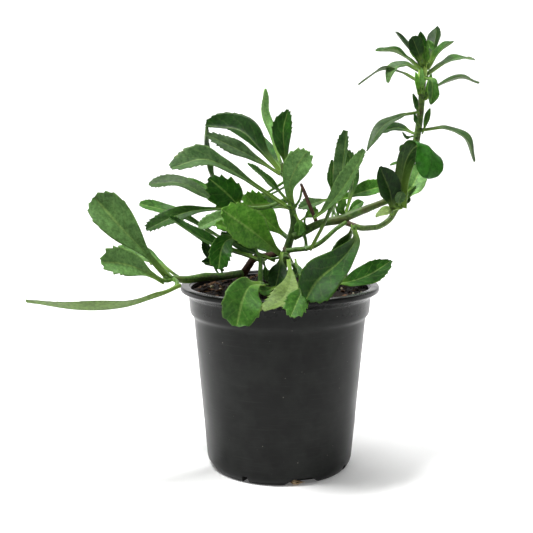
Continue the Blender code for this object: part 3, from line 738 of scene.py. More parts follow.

        # each leaf's tint (partly its own tone, partly painted light and shade), its mottling, and the
        # paler stalk
        which = add_node(tree, "ShaderNodeAttribute", attribute_name="under").outputs["Fac"]
        tint = add_node(tree, "ShaderNodeAttribute", attribute_name="tint").outputs["Fac"]
        sides = add_node(tree, "ShaderNodeMix", {0: which, 6: upper, 7: below}, **colours)
        dark, pale = self.mottling
        cloudy = add_node(tree, "ShaderNodeMapRange",
                          {0: mottle.outputs[0], 1: 0.3, 2: 0.7, 3: dark, 4: pale}, **smooth)
        # the tint here is partly painted light and shade, multiplied with the random mottling
        tint_painted_shade_and_mottling = add_node(tree, "ShaderNodeMath", {0: tint, 1: cloudy}, operation="MULTIPLY")
        toned = add_node(tree, "ShaderNodeVectorMath", {0: sides, "Scale": tint_painted_shade_and_mottling}, operation="SCALE")
        foot = add_node(tree, "ShaderNodeMapRange",
                        {0: along, 1: 0.0, 2: 0.28, 3: 0.75, 4: 0.0}, **smooth)
        colour = add_node(tree, "ShaderNodeMix", {0: foot, 6: toned, 7: linear(self.stalk)}, **colours)
        tree.links.new(colour.outputs[2], shader.inputs["Base Color"])

        # satin wax, duller in its grain, with the veins sunk into the face
        matt = add_node(tree, "ShaderNodeMapRange",
                        {0: grain, 1: 0.3, 2: 0.7, 3: self.roughness - 0.06, 4: self.roughness + 0.1},
                        **smooth)
        tree.links.new(matt.outputs[0], shader.inputs["Roughness"])
        pores = add_node(tree, "ShaderNodeMath", {0: grain, 1: 0.7}, operation="MULTIPLY")
        height = add_node(tree, "ShaderNodeMath", {0: veins, 1: -0.9, 2: pores},
                          operation="MULTIPLY_ADD")
        bump = add_node(tree, "ShaderNodeBump", {"Height": height, "Strength": 0.5, "Distance": 0.5 * MM})
        tree.links.new(bump.outputs[0], shader.inputs["Normal"])
        shader.inputs["IOR"].default_value = 1.4
        shader.inputs["Specular IOR Level"].default_value = 0.2
        return material


LEAF_SKINS = {
    # the leaf skin painted in shade: darker greens that stand in for shade on these leaves
    Tone.DARK: LeafSkin("Shaded waxy leaf", "#0f3003", "#1f480d", "#3f6522",
                        side_strength=0.05, midrib_strength=0.25),
    Tone.DEEP: LeafSkin("Deep green waxy leaf", "#183f07", "#2b5c15", "#507a2e"),
    Tone.MID: LeafSkin("Green waxy leaf", "#2b5318", "#427026", "#75924b"),
    Tone.BRIGHT: LeafSkin("Young green leaf", "#3a6a1b", "#56862e", "#84a254"),
    Tone.OLIVE: LeafSkin("Olive green leaf", "#4a6e37", "#5e8547", "#88a057"),
    Tone.GREY: LeafSkin("Grey-green haired leaf", "#375a2b", "#547442", "#7a955a"),
    Tone.PALE: LeafSkin("Pale leaf with its underside up", "#6f8d44", "#8ca65d", "#93aa67"),
    Tone.GLOSSY: LeafSkin("Bright glossy leaf", "#1d3a10", "#2e521c", "#226412", roughness=0.34),
}


@dataclass(frozen=True)
class BarkSkin:
    """Young bark, grown in fine lengthwise fibres.

    It gives the eye a satin green stem with a purple or brown flush on the sunny parts, or a dull
    and rough brown one where it has turned woody.
    """

    name: str
    deep: str
    light: str
    blush: str
    roughness: float
    ridge: float
    flush: float = 0.6

    def make(self) -> bpy.types.Material:
        """Make the bark.

        Returns:
            The material, mottled at 2.2 mm and flushed in patches of 14 mm.
        """
        material, tree, shader, place = new_material(self.name)
        colours = {"data_type": "RGBA"}
        fibres = add_node(tree, "ShaderNodeTexNoise",
                          {"Vector": place, "Scale": 1 / 0.0022, "Detail": 5.0}).outputs[0]
        patches = add_node(tree, "ShaderNodeTexNoise",
                           {"Vector": place, "Scale": 1 / 0.014, "Detail": 3.0}).outputs[0]
        streak = add_node(tree, "ShaderNodeMapRange", {0: fibres, 1: 0.35, 2: 0.68})
        green = add_node(tree, "ShaderNodeMix",
                         {0: streak, 6: linear(self.deep), 7: linear(self.light)}, **colours)
        sunny = add_node(tree, "ShaderNodeMapRange", {0: patches, 1: 0.5, 2: 0.66, 4: self.flush})
        colour = add_node(tree, "ShaderNodeMix", {0: sunny, 6: green, 7: linear(self.blush)}, **colours)
        tree.links.new(colour.outputs[2], shader.inputs["Base Color"])
        matt = add_node(tree, "ShaderNodeMapRange",
                        {0: fibres, 1: 0.3, 2: 0.7, 3: self.roughness - 0.08, 4: self.roughness + 0.08})
        tree.links.new(matt.outputs[0], shader.inputs["Roughness"])
        bump = add_node(tree, "ShaderNodeBump",
                        {"Height": fibres, "Strength": self.ridge, "Distance": 0.5 * MM})
        tree.links.new(bump.outputs[0], shader.inputs["Normal"])
        shader.inputs["Specular IOR Level"].default_value = 0.35
        return material


BARK_SKINS = {
    Bark.GREEN: BarkSkin("Smooth green stem", "#34561c", "#5c8233", "#466420", 0.48, 0.25),
    Bark.OLIVE: BarkSkin("Olive stem turning woody", "#2a4715", "#50702a", "#4d4a26", 0.52, 0.3),
    Bark.PURPLE: BarkSkin("Purple-flushed stem", "#3a5224", "#64803a", "#4c352b", 0.5, 0.3, 0.9),
    Bark.WOODY: BarkSkin("Red-brown woody stem", "#2c1a12", "#553829", "#38241a", 0.75, 0.8),
    # partly the young stem's own yellow-green and partly painted light that brightens the shaded hub
    Bark.FRESH: BarkSkin("Fresh yellow-green stem brightened with painted light", "#93b948", "#c6e27c", "#9fc45a", 0.45, 0.2),
}


@dataclass(frozen=True)
class CrumbSkin:
    """Loose dry stuff with a broken, porous face: peat, bark chips, perlite or root skin.

    It gives the eye no shine, and light and dark grains as large as the field grain, in metres.
    """

    name: str
    deep: str
    light: str
    grain: float
    roughness: float = 0.92
    relief: float = 0.8

    def make(self) -> bpy.types.Material:
        """Make the crumbly finish.

        Returns:
            The material, with relief of at most 1 mm.
        """
        material, tree, shader, place = new_material(self.name)
        grains = add_node(tree, "ShaderNodeTexNoise",
                          {"Vector": place, "Scale": 1 / self.grain, "Detail": 6.0, "Roughness": 0.7})
        grains = grains.outputs[0]
        pale = add_node(tree, "ShaderNodeMapRange", {0: grains, 1: 0.38, 2: 0.66})
        colour = add_node(tree, "ShaderNodeMix",
                          {0: pale, 6: linear(self.deep), 7: linear(self.light)}, data_type="RGBA")
        tree.links.new(colour.outputs[2], shader.inputs["Base Color"])
        bump = add_node(tree, "ShaderNodeBump",
                        {"Height": grains, "Strength": self.relief, "Distance": MM})
        tree.links.new(bump.outputs[0], shader.inputs["Normal"])
        shader.inputs["Roughness"].default_value = self.roughness
        shader.inputs["Specular IOR Level"].default_value = 0.25
        return material


@dataclass(frozen=True)
class PotSkin:
    """Black polypropylene, injection moulded.

    It gives the eye a satin black with soft reflections, hazy wear, a few pale dust specks, faint
    flow marks and scuffs round the wall, and a darker, glossier band from the collar up over the
    rim. The collar's heights are in metres.
    """

    name: str = "Moulded black polypropylene"
    black: str = "#131413"
    worn: str = "#222422"
    # the darker black of the band from the collar up over the rim
    fresh: str = "#0a0b0a"
    dust: str = "#77746c"
    collar_from: float = 0.1195
    collar_to: float = 0.1385

    def make(self) -> bpy.types.Material:
        """Make the pot's plastic.

        Returns:
            The material: hazy wear in clouds of 22 mm, dust specks about 3.4 mm apart, flow marks
            5 mm high and scuff lines 1 mm high round the pot, and a darker, glossier band from the collar
            up over the rim.
        """
        material, tree, shader, place = new_material(self.name)
        colours = {"data_type": "RGBA"}
        cloud = add_node(tree, "ShaderNodeTexNoise",
                         {"Vector": place, "Scale": 1 / 0.022, "Detail": 6.0, "Roughness": 0.6})
        cloud = cloud.outputs[0]
        flat = add_node(tree, "ShaderNodeMapping", {"Vector": place, "Scale": (1.0, 1.0, 7.0)})
        flow = add_node(tree, "ShaderNodeTexNoise", {"Vector": flat, "Scale": 1 / 0.035, "Detail": 4.0})
        thin = add_node(tree, "ShaderNodeMapping", {"Vector": place, "Scale": (1.0, 1.0, 22.0)})
        lines = add_node(tree, "ShaderNodeTexNoise", {"Vector": thin, "Scale": 1 / 0.022, "Detail": 3.0})
        scuff = add_node(tree, "ShaderNodeMapRange", {0: lines.outputs[0], 1: 0.56, 2: 0.74, 4: 0.6})
        specks = add_node(tree, "ShaderNodeTexVoronoi", {"Vector": place, "Scale": 1 / 0.0034})
        size = add_node(tree, "ShaderNodeTexNoise", {"Vector": place, "Scale": 1 / 0.006, "Detail": 2.0})
        limit = add_node(tree, "ShaderNodeMapRange", {0: size.outputs[0], 1: 0.56, 2: 0.84, 4: 0.32})
        near = add_node(tree, "ShaderNodeMath", {0: limit, 1: specks.outputs["Distance"]},
                        operation="SUBTRACT")
        speck = add_node(tree, "ShaderNodeMapRange", {0: near, 1: 0.0, 2: 0.05, 4: 0.5})
        haze = add_node(tree, "ShaderNodeMapRange", {0: cloud, 1: 0.42, 2: 0.75, 4: 0.9})
        base = add_node(tree, "ShaderNodeMix",
                        {0: haze, 6: linear(self.black), 7: linear(self.worn)}, **colours)
        scuffed = add_node(tree, "ShaderNodeMix", {0: scuff, 6: base, 7: linear(self.worn)}, **colours)
        rise = add_node(tree, "ShaderNodeSeparateXYZ", {0: place}).outputs[2]
        # darker towards the top: from the collar up over the rim the black turns darker
        collar = add_node(tree, "ShaderNodeMapRange",
                          {0: rise, 1: self.collar_from, 2: self.collar_to, 4: 0.85})
        darker_to_rim = add_node(tree, "ShaderNodeMix", {0: collar, 6: scuffed, 7: linear(self.fresh)}, **colours)
        colour = add_node(tree, "ShaderNodeMix", {0: speck, 6: darker_to_rim, 7: linear(self.dust)}, **colours)
        tree.links.new(colour.outputs[2], shader.inputs["Base Color"])
        gloss = add_node(tree, "ShaderNodeMath", {0: cloud, 1: 0.30, 2: 0.20}, operation="MULTIPLY_ADD")
        sleek = add_node(tree, "ShaderNodeMath", {0: collar, 1: -0.1, 2: gloss},
                         operation="MULTIPLY_ADD")
        dull = add_node(tree, "ShaderNodeMath", {0: speck, 1: 0.8, 2: sleek}, operation="MULTIPLY_ADD")
        tree.links.new(dull.outputs[0], shader.inputs["Roughness"])
        marks = add_node(tree, "ShaderNodeMath", {0: flow.outputs[0], 1: 0.6, 2: speck},
                         operation="MULTIPLY_ADD")
        height = add_node(tree, "ShaderNodeMath", {0: lines.outputs[0], 1: 0.15, 2: marks},
                          operation="MULTIPLY_ADD")
        bump = add_node(tree, "ShaderNodeBump", {"Height": height, "Strength": 0.2, "Distance": 0.6 * MM})
        tree.links.new(bump.outputs[0], shader.inputs["Normal"])
        shader.inputs["IOR"].default_value = 1.45
        shader.inputs["Specular IOR Level"].default_value = 0.16
        return material


# ---------------------------------------------------------------- leaves


@dataclass
class Foliage:
    """All leaves: toothed, veined blades with channelled stalks, thicker at the midrib.

    Lengths are in millimetres. A leaf is worked out over a flat grid: across runs from -1 on one
    margin to 1 on the other, and share from 0 at the foot of the stalk to 1 at the tip.
    """

    columns: int = 16
    rows: int = 96
    small_columns: int = 8
    small_rows: int = 36
    tip_crowding: float = 1.5
    tip_share: float = 0.17
    blunt_from: float = 0.65
    blunt_power: float = 0.5
    sharp_power: float = 0.75
    tooth_spacing: float = 0.27
    least_spacing: float = 3.6
    tooth_size: float = 1.5
    tooth_back: float = 0.8
    tooth_wander: float = 0.2
    smallest_tooth: float = 0.35
    largest_tooth: float = 1.25
    full_size_width: float = 17.0
    turn_swing: float = 5.0
    fold_gain: float = 2.6
    fold_softness: float = 0.015
    curl: Pair = (-0.12, 0.05)
    ripples: float = 2.3
    ripple_shift: float = 1.9
    ripple_depth: float = 0.045
    rib_width: float = 1.0
    rib_groove: float = 0.22
    rib_keel: float = 0.55
    puffs: float = 7.0
    puff_slant: float = 1.7
    puff_height: float = 0.10
    stalk_thickness: float = 1.7
    blade_thickness: float = 0.75
    reach: float = 2.6
    reach_share: float = 0.1
    skins: dict[Tone, bpy.types.Material] = field(default_factory=dict)

    def dress(self) -> None:
        """Make one material for each tone."""
        self.skins = {tone: skin.make() for tone, skin in LEAF_SKINS.items()}

    def half_width(self, leaf: Leaf, share: np.ndarray) -> np.ndarray:
        """Work out the spoon shape: a narrow stalk, a wide blade and a round or pointed tip.

        Args:
            leaf: The leaf.
            share: Places along the leaf, from 0 to 1.

        Returns:
            Half of the leaf's width at each place, in metres.
        """
        opening = ease(share, leaf.stalk / 2, leaf.widest)
        past = np.clip((share - leaf.widest) / (1 - leaf.widest), 0, 1)
        power = self.blunt_power if leaf.widest >= self.blunt_from else self.sharp_power
        closing = np.maximum(self.tip_share, (1 - past ** 2.4) ** power)
        rising = leaf.neck + (1 - leaf.neck) * opening
        return leaf.width / 2 * MM * np.where(share < leaf.widest, rising, closing)

    def teeth(self, leaf: Leaf, across: np.ndarray, share: np.ndarray,
              draw: random.Random) -> tuple[np.ndarray, np.ndarray]:
        """Work out how far the margin's teeth reach.

        The teeth are spaced evenly along the margin, begin near the widest place, point towards
        the tip and differ in size.

        Args:
            leaf: The leaf.
            across: Places across the blade, from -1 to 1.
            share: Places along the leaf, from 0 to 1.
            draw: The leaf's own random numbers.

        Returns:
            The reach outwards and the reach towards the tip, in metres.
        """
        fine = np.linspace(0, 1, 241)
        midline = along_route(leaf.midline, fine)
        steps = np.linalg.norm(np.diff(midline, axis=0), axis=1)
        grow = np.diff(self.half_width(leaf, fine))
        travel = np.concatenate([[0], np.cumsum(np.hypot(steps, grow))])
        slope = np.interp(share, (fine[1:] + fine[:-1]) / 2, grow / steps)
        first, second = draw.uniform(0, 1), draw.uniform(0, 1)
        spacing = max(self.least_spacing, self.tooth_spacing * leaf.width) * MM
        beat = np.interp(share, fine, travel) / spacing + np.where(across < 0, first, second)
        part = (beat + self.tooth_wander * np.sin(beat * 1.9 + first * 6)) % 1.0
        # each tooth rises slowly to its point and drops back quickly on the side of the tip
        back = self.tooth_back
        point = np.where(part < back, (part / back) ** 1.5, (1 - part) / (1 - back))
        size = self.tooth_size * leaf.teeth * MM * min(1.2, leaf.width / self.full_size_width)
        size = size * ease(share, leaf.widest - 0.1, leaf.widest + 0.1)
        spread = self.largest_tooth - self.smallest_tooth
        chance = np.abs(np.sin(np.floor(beat) * 12.9 + first * 40))
        size = size * (self.smallest_tooth + spread * chance)
        margin = np.clip((np.abs(across) - 0.5) / 0.5, 0, 1) ** 1.6
        reach = size * margin * (point - 0.4)
        lean = np.hypot(1.0, slope)
        return np.sign(across) * reach / lean, reach * (0.45 - slope / lean)

    def directions(self, leaf: Leaf, share: np.ndarray,
                   start: float) -> tuple[np.ndarray, np.ndarray, np.ndarray]:
        """Find which way the leaf runs, spreads and faces.

        Args:
            leaf: The leaf.
            share: Places along the leaf, from 0 to 1.
            start: Where the small swings of its turn begin, in radians.

        Returns:
            Rows of unit vectors along the leaf, across it and out of its upper face.
        """
        step = 0.004
        behind = np.array([0.0, 1.0, 0.0])
        tangent = unit(along_route(leaf.midline, share + step) - along_route(leaf.midline, share - step))
        chord = np.array(leaf.midline[-1], float) - np.array(leaf.midline[0], float)
        chord[1] = 0.0
        chord /= np.linalg.norm(chord)
        upright = np.array([chord[2], 0.0, -chord[0]])
        sense = -1.0 if chord[0] > 0 else 1.0
        swing = self.turn_swing * np.sin(share * 5.0 + start)
        angle = np.radians(sense * (leaf.turn + leaf.twist * share + swing))[:, None]
        side = upright * np.cos(angle) + behind * np.sin(angle)
        side = unit(side - (side * tangent).sum(1)[:, None] * tangent)
        return tangent, side, np.cross(side, tangent)

    def relief(self, leaf: Leaf, across: np.ndarray, share: np.ndarray, half: np.ndarray,
               body: np.ndarray, draw: random.Random) -> np.ndarray:
        """Fold the leaf along its midrib, curl its blade and ripple its margin.

        Args:
            leaf: The leaf.
            across: Places across the blade, from -1 to 1.
            share: Places along the leaf, from 0 to 1.
            half: Half of the leaf's width at each place, in metres.
            body: 0 on the stalk and 1 on the blade.
            draw: The leaf's own random numbers.

        Returns:
            How far each place stands out of the leaf's plane, in metres.
        """
        shift = np.where(across < 0, self.ripple_shift, 0.0)
        ripple = np.sin(share * math.tau * self.ripples + shift + draw.uniform(0, 6))
        fold = np.sqrt(across ** 2 + self.fold_softness) - 0.5
        rise = fold * half * leaf.fold * self.fold_gain
        rise += draw.uniform(*self.curl) * half * (across ** 2 - 0.33) * body
        return rise + self.ripple_depth * leaf.width * MM * ripple * across ** 2 * body

    def thickness(self, across: np.ndarray, share: np.ndarray, half: np.ndarray,
                  body: np.ndarray) -> tuple[np.ndarray, np.ndarray]:
        """Work out the leaf's thickness, with a groove over the midrib and a keel under it.

        Args:
            across: Places across the blade, from -1 to 1.
            share: Places along the leaf, from 0 to 1.
            half: Half of the leaf's width at each place, in metres.
            body: 0 on the stalk and 1 on the blade.

        Returns:
            The upper and the lower face's distance from the middle, in millimetres.
        """
        rib = np.exp(-(across * half / MM / self.rib_width) ** 2) * (1 - 0.6 * share)
        blade = self.blade_thickness * (1 - 0.5 * across ** 2)
        stalk = self.stalk_thickness * (1 - 0.3 * across ** 2)
        thick = stalk * (1 - body) + blade * body
        wave = np.abs(np.sin((share * self.puffs - np.abs(across) * self.puff_slant) * math.pi))
        puff = self.puff_height * wave * body * (1 - across ** 2)
        return thick / 2 - self.rib_groove * rib + puff, thick / 2 + self.rib_keel * rib

    def sheet(self, columns: int, rows: int) -> bpy.types.Object:
        """Make a flat two-sided sheet from -1 to 1, closed along its edge.

        Args:
            columns: Its squares from side to side.
            rows: Its squares from end to end.

        Returns:
            The sheet, to be shaped into a leaf.
        """
        deselect()
        bpy.ops.mesh.primitive_grid_add(x_subdivisions=columns, y_subdivisions=rows, size=2.0)
        item = bpy.context.object
        apply_modifier(item, "SOLIDIFY", thickness=0.02, offset=0.0)
        return item

    def build(self, name: str, leaf: Leaf, small: bool = False) -> bpy.types.Object:
        """Shape one leaf and note each point's face and tint for its material.

        Args:
            name: The leaf's name, which also starts its random numbers.
            leaf: The leaf's midline, width and set.
            small: Whether it gets the coarser grid.

        Returns:
            The finished mesh object, without a material.
        """
        columns, rows = (self.small_columns, self.small_rows) if small else (self.columns, self.rows)
        item = self.sheet(columns, rows)
        item.name = f"{name}_blade"
        flat = points_of(item)
        across = np.clip(flat[:, 0], -1, 1)
        top = flat[:, 2] > 0
        share = 1 - (1 - np.clip((flat[:, 1] + 1) / 2, 0, 1)) ** self.tip_crowding
        draw = random.Random(name)
        tangent, side, normal = self.directions(leaf, share, draw.uniform(0, 6))
        half = self.half_width(leaf, share)
        body = ease(share, leaf.stalk * 0.6, leaf.stalk * 0.6 + 0.2)
        bite, forward = self.teeth(leaf, across, share, draw)
        rise = self.relief(leaf, across, share, half, body, draw)
        upper, lower = self.thickness(across, share, half, body)
        outward = (across * half + bite)[:, None]
        lift = (np.where(top, upper, -lower) * MM + rise)[:, None]
        foot = np.clip(1 - share / self.reach_share, 0, 1) * self.reach * MM
        onward = (forward - foot)[:, None]
        place = along_route(leaf.midline, share)
        move_points(item, place + side * outward + normal * lift + tangent * onward)
        under = item.data.attributes.new("under", "FLOAT", "POINT")
        under.data.foreach_set("value", np.where(top, 0.0, 1.0))
        # tint: each leaf's brightness, partly its own tone and partly painted light and shade
        tint = item.data.attributes.new("tint", "FLOAT", "POINT")
        tint.data.foreach_set("value", np.full(len(flat), leaf.tint))
        item.data.shade_smooth()
        return item

    def build_all(self) -> None:
        """Build every leaf that has a CAD node, and the groups of small leaves."""
        self.dress()
        for name, leaf in LEAVES.items():
            item = self.build(name, leaf)
            finish_piece(item, self.skins[leaf.tone], [name])
        for name, leaves in SMALL_LEAVES.items():
            self.build_group(name, leaves)

    def build_group(self, name: str, leaves: Sequence[Leaf]) -> None:
        """Build one joined piece of small leaves, each with its own material.

        Args:
            name: The piece's name.
            leaves: The leaves in it.
        """
        made = []
        for number, leaf in enumerate(leaves, 1):
            item = self.build(f"{name}_{number}", leaf, small=True)
            item.data.materials.clear()
            item.data.materials.append(self.skins[leaf.tone])
            made.append(item)
        group = join(made, name)
        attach(group, BODY)
        LOG.info("%s: %d faces", group.name, len(group.data.polygons))


# ---------------------------------------------------------------- stems and roots


@dataclass
class Stems:
    """Stems with swollen leaf joints and slightly knotted bark. Lengths are in millimetres."""

    points_per_span: int = 10
    joint_spacing: float = 21.0
    first_joint: float = 15.0
    joint_length: float = 1.9
    joint_swell: float = 0.05
    knot_height: float = 0.08
    knots_per_metre: float = 260.0
    pores_per_metre: float = 900.0
    pore_share: float = 0.6
    least_gap: float = 2.0
    most_gap: float = 60.0
    stalk_radii: Pair = (0.8, 1.6)
    stalk_share: float = 0.85
    stalk_flare: float = 1.15
    stalk_sag: float = 0.12
    stalk_overlap: float = 1.5
    skins: dict[Bark, bpy.types.Material] = field(default_factory=dict)

    def tube(self, name: str, route: Sequence[Point], radii: Sequence[float],
             reaches: Pair = (0.0, 0.0), sides: int = 5) -> bpy.types.Object:
        """Make a closed round tube along a smooth route.

        Args:
            name: The object's name.
            route: The route's own points in millimetres.
            radii: Radii in millimetres, spread evenly along the route.
            reaches: Lengths in millimetres that are added at the root and at the tip.
            sides: The curve's bevel resolution.

        Returns:
            The tube as a mesh object.
        """
        ends = [Vector(point) for point in route]
        if reaches[0]:
            ends[0:0] = [ends[0] + (ends[0] - ends[1]).normalized() * reaches[0]]
            radii = [radii[0], *radii]
        if reaches[1]:
            ends.append(ends[-1] + (ends[-1] - ends[-2]).normalized() * reaches[1])
            radii = [*radii, radii[-1]]
        count = self.points_per_span * (len(ends) - 1)
        shares = np.linspace(0, 1, count + 1)
        places = along_route([tuple(end) for end in ends], shares)
        length = np.linalg.norm(np.diff(places, axis=0), axis=1).sum() / MM
        before = self.joint_spacing - self.first_joint
        past = (shares * length + before) % self.joint_spacing - before
        swell = self.joint_swell * np.exp(-(past / self.joint_length) ** 2)
        sizes = np.interp(shares, np.linspace(0, 1, len(radii)), radii) * (1 + swell)
        curve = bpy.data.curves.new(name, "CURVE")
        curve.dimensions = "3D"
        curve.bevel_depth = MM
        curve.bevel_resolution = sides
        curve.use_fill_caps = True
        spline = curve.splines.new("POLY")
        spline.points.add(count)
        for point, place, size in zip(spline.points, places, sizes):
            point.co = (*place, 1.0)
            point.radius = size
        item = bpy.data.objects.new(name, curve)
        bpy.context.scene.collection.objects.link(item)
        select_only(item)
        bpy.ops.object.convert(target="MESH")
        item = bpy.context.object
        clean_mesh(item)
        item.data.shade_smooth()
        return item

    def roughen(self, item: bpy.types.Object) -> None:
        """Push the skin in and out along its normals in knots of about 4 mm and pores of 1 mm.

        Args:
            item: The stem's mesh object.
        """
        for vertex in item.data.vertices:
            knot = noise.noise(vertex.co * self.knots_per_metre)
            pore = noise.noise(vertex.co * self.pores_per_metre)
            vertex.co += vertex.normal * (knot + self.pore_share * pore) * self.knot_height * MM
        item.data.update()

    def build_all(self) -> None:
        """Build every stem and twig, and the stalks that join the leaves to them."""
        self.skins = {bark: skin.make() for bark, skin in BARK_SKINS.items()}
        for stem in STEMS:
            reaches = (stem.root_reach, stem.tip_reach)
            item = self.tube(f"{stem.name}_bark", stem.route, stem.radii, reaches)
            self.roughen(item)
            finish_piece(item, self.skins[stem.bark], [stem.name] if stem.node else ())
        self.build_stalks()

    def build_stalks(self) -> None:
        """Lead a thin smooth stalk from each leaf's foot to the nearest stem, and join them all."""
        axes = np.vstack([along_route(stem.route, np.linspace(0, 1, 60)) for stem in STEMS]) / MM
        leaves = [*LEAVES.values(), *(leaf for group in SMALL_LEAVES.values() for leaf in group)]
        made = []
        for leaf in leaves:
            foot, second = (np.array(point, float) for point in leaf.midline[:2])
            gaps = np.linalg.norm(axes - foot, axis=1)
            gap = gaps.min()
            if not self.least_gap < gap < self.most_gap:
                continue
            start = axes[gaps.argmin()]
            back = (foot - second) / np.linalg.norm(foot - second)
            middle = 0.55 * foot + 0.45 * start + back * gap * self.stalk_sag
            size = float(np.clip(leaf.width * leaf.neck / 2 * self.stalk_share, *self.stalk_radii))
            route = [tuple(start), tuple(middle), tuple(foot - back * self.stalk_overlap)]
            made.append(self.tube(f"stalk_{len(made)}", route,
                                  [size * self.stalk_flare, size, size], sides=2))
        finish_piece(join(made, "leaf_stalks"), self.skins[Bark.GREEN])


@dataclass
class Roots:
    """Fine pale roots that come out of the front drain notch. Lengths are in millimetres."""

    strands: int = 9
    strand_radius: float = 0.45
    lowest: float = 0.8
    seed: int = 11

    def strand(self, name: str, stems: Stems, draw: random.Random, ends: Pair) -> bpy.types.Object:
        """Make one root that sags from end to end.

        Args:
            name: The strand's name.
            stems: What makes its tube.
            draw: The tuft's random numbers.
            ends: The tuft's left and right end along X.

        Returns:
            The strand as a mesh object.
        """
        left, right = ends
        start = Vector((draw.uniform(left, left + 6), draw.uniform(-50, -47), draw.uniform(2, 5)))
        end = Vector((draw.uniform(right - 6, right + 1), draw.uniform(-53, -49), draw.uniform(0.9, 3.6)))
        middle = (start + end) / 2 + Vector((0, draw.uniform(-5, -1.5), draw.uniform(-1.2, 1.0)))
        middle.z = max(middle.z, self.lowest)
        size = self.strand_radius * draw.uniform(0.7, 1.5)
        return stems.tube(name, [tuple(start), tuple(middle), tuple(end)],
                          [size * 0.7, size, size * 0.5], sides=1)

    def build(self, stems: Stems) -> None:
        """Build the tuft.

        Args:
            stems: What makes the strands' tubes.
        """
        low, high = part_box("root_tuft")
        ends = (low.x / MM, high.x / MM)
        draw = random.Random(self.seed)
        made = [self.strand(f"strand_{number}", stems, draw, ends) for number in range(self.strands)]
        tuft = join(made, "root_tuft_strands")
        skin = CrumbSkin("Dry fibrous root", "#8b6c4c", "#e0c8a2", 1.5 * MM, 0.85, 0.5)
        finish_piece(tuft, skin.make(), ["root_tuft"])


# ---------------------------------------------------------------- pot and soil


def lathe(name: str, rings: Sequence[Pair], steps: int) -> bpy.types.Object:
    """Extrude a disc from ring to ring into a closed turned shape.

    Args:
        name: The object's name.
        rings: Radius and height of each ring in millimetres; the first and last are capped.
        steps: How many sides the shape has.

    Returns:
        The turned mesh object.
    """
    radius, height = rings[0]
    deselect()
    bpy.ops.mesh.primitive_circle_add(vertices=steps, radius=radius * MM, fill_type="NGON",
                                      location=(0.0, 0.0, height * MM))
    item = bpy.context.object
    item.name = name
    item.data.name = name
    apply_place(item)
    bpy.ops.object.mode_set(mode="EDIT")
    bpy.ops.mesh.select_mode(type="FACE")
    bpy.ops.mesh.select_all(action="SELECT")
    for next_radius, next_height in rings[1:]:
        rise = (next_height - height) * MM
        bpy.ops.mesh.extrude_region_move(TRANSFORM_OT_translate={"value": (0.0, 0.0, rise)})
        grow = next_radius / radius
        bpy.ops.transform.resize(value=(grow, grow, 1.0), center_override=(0.0, 0.0, 0.0))
        radius, height = next_radius, next_height
    bpy.ops.mesh.select_all(action="SELECT")
    bpy.ops.mesh.normals_make_consistent(inside=False)
    bpy.ops.object.mode_set(mode="OBJECT")
    return item


def arc(centre: Pair, radius: float, start: float, end: float, count: int) -> list[Pair]:
    """Return points on an arc round a centre, from start to end in degrees, in count steps."""
    angles = [math.radians(start + (end - start) * i / count) for i in range(count + 1)]
    return [(centre[0] + radius * math.cos(a), centre[1] + radius * math.sin(a)) for a in angles]


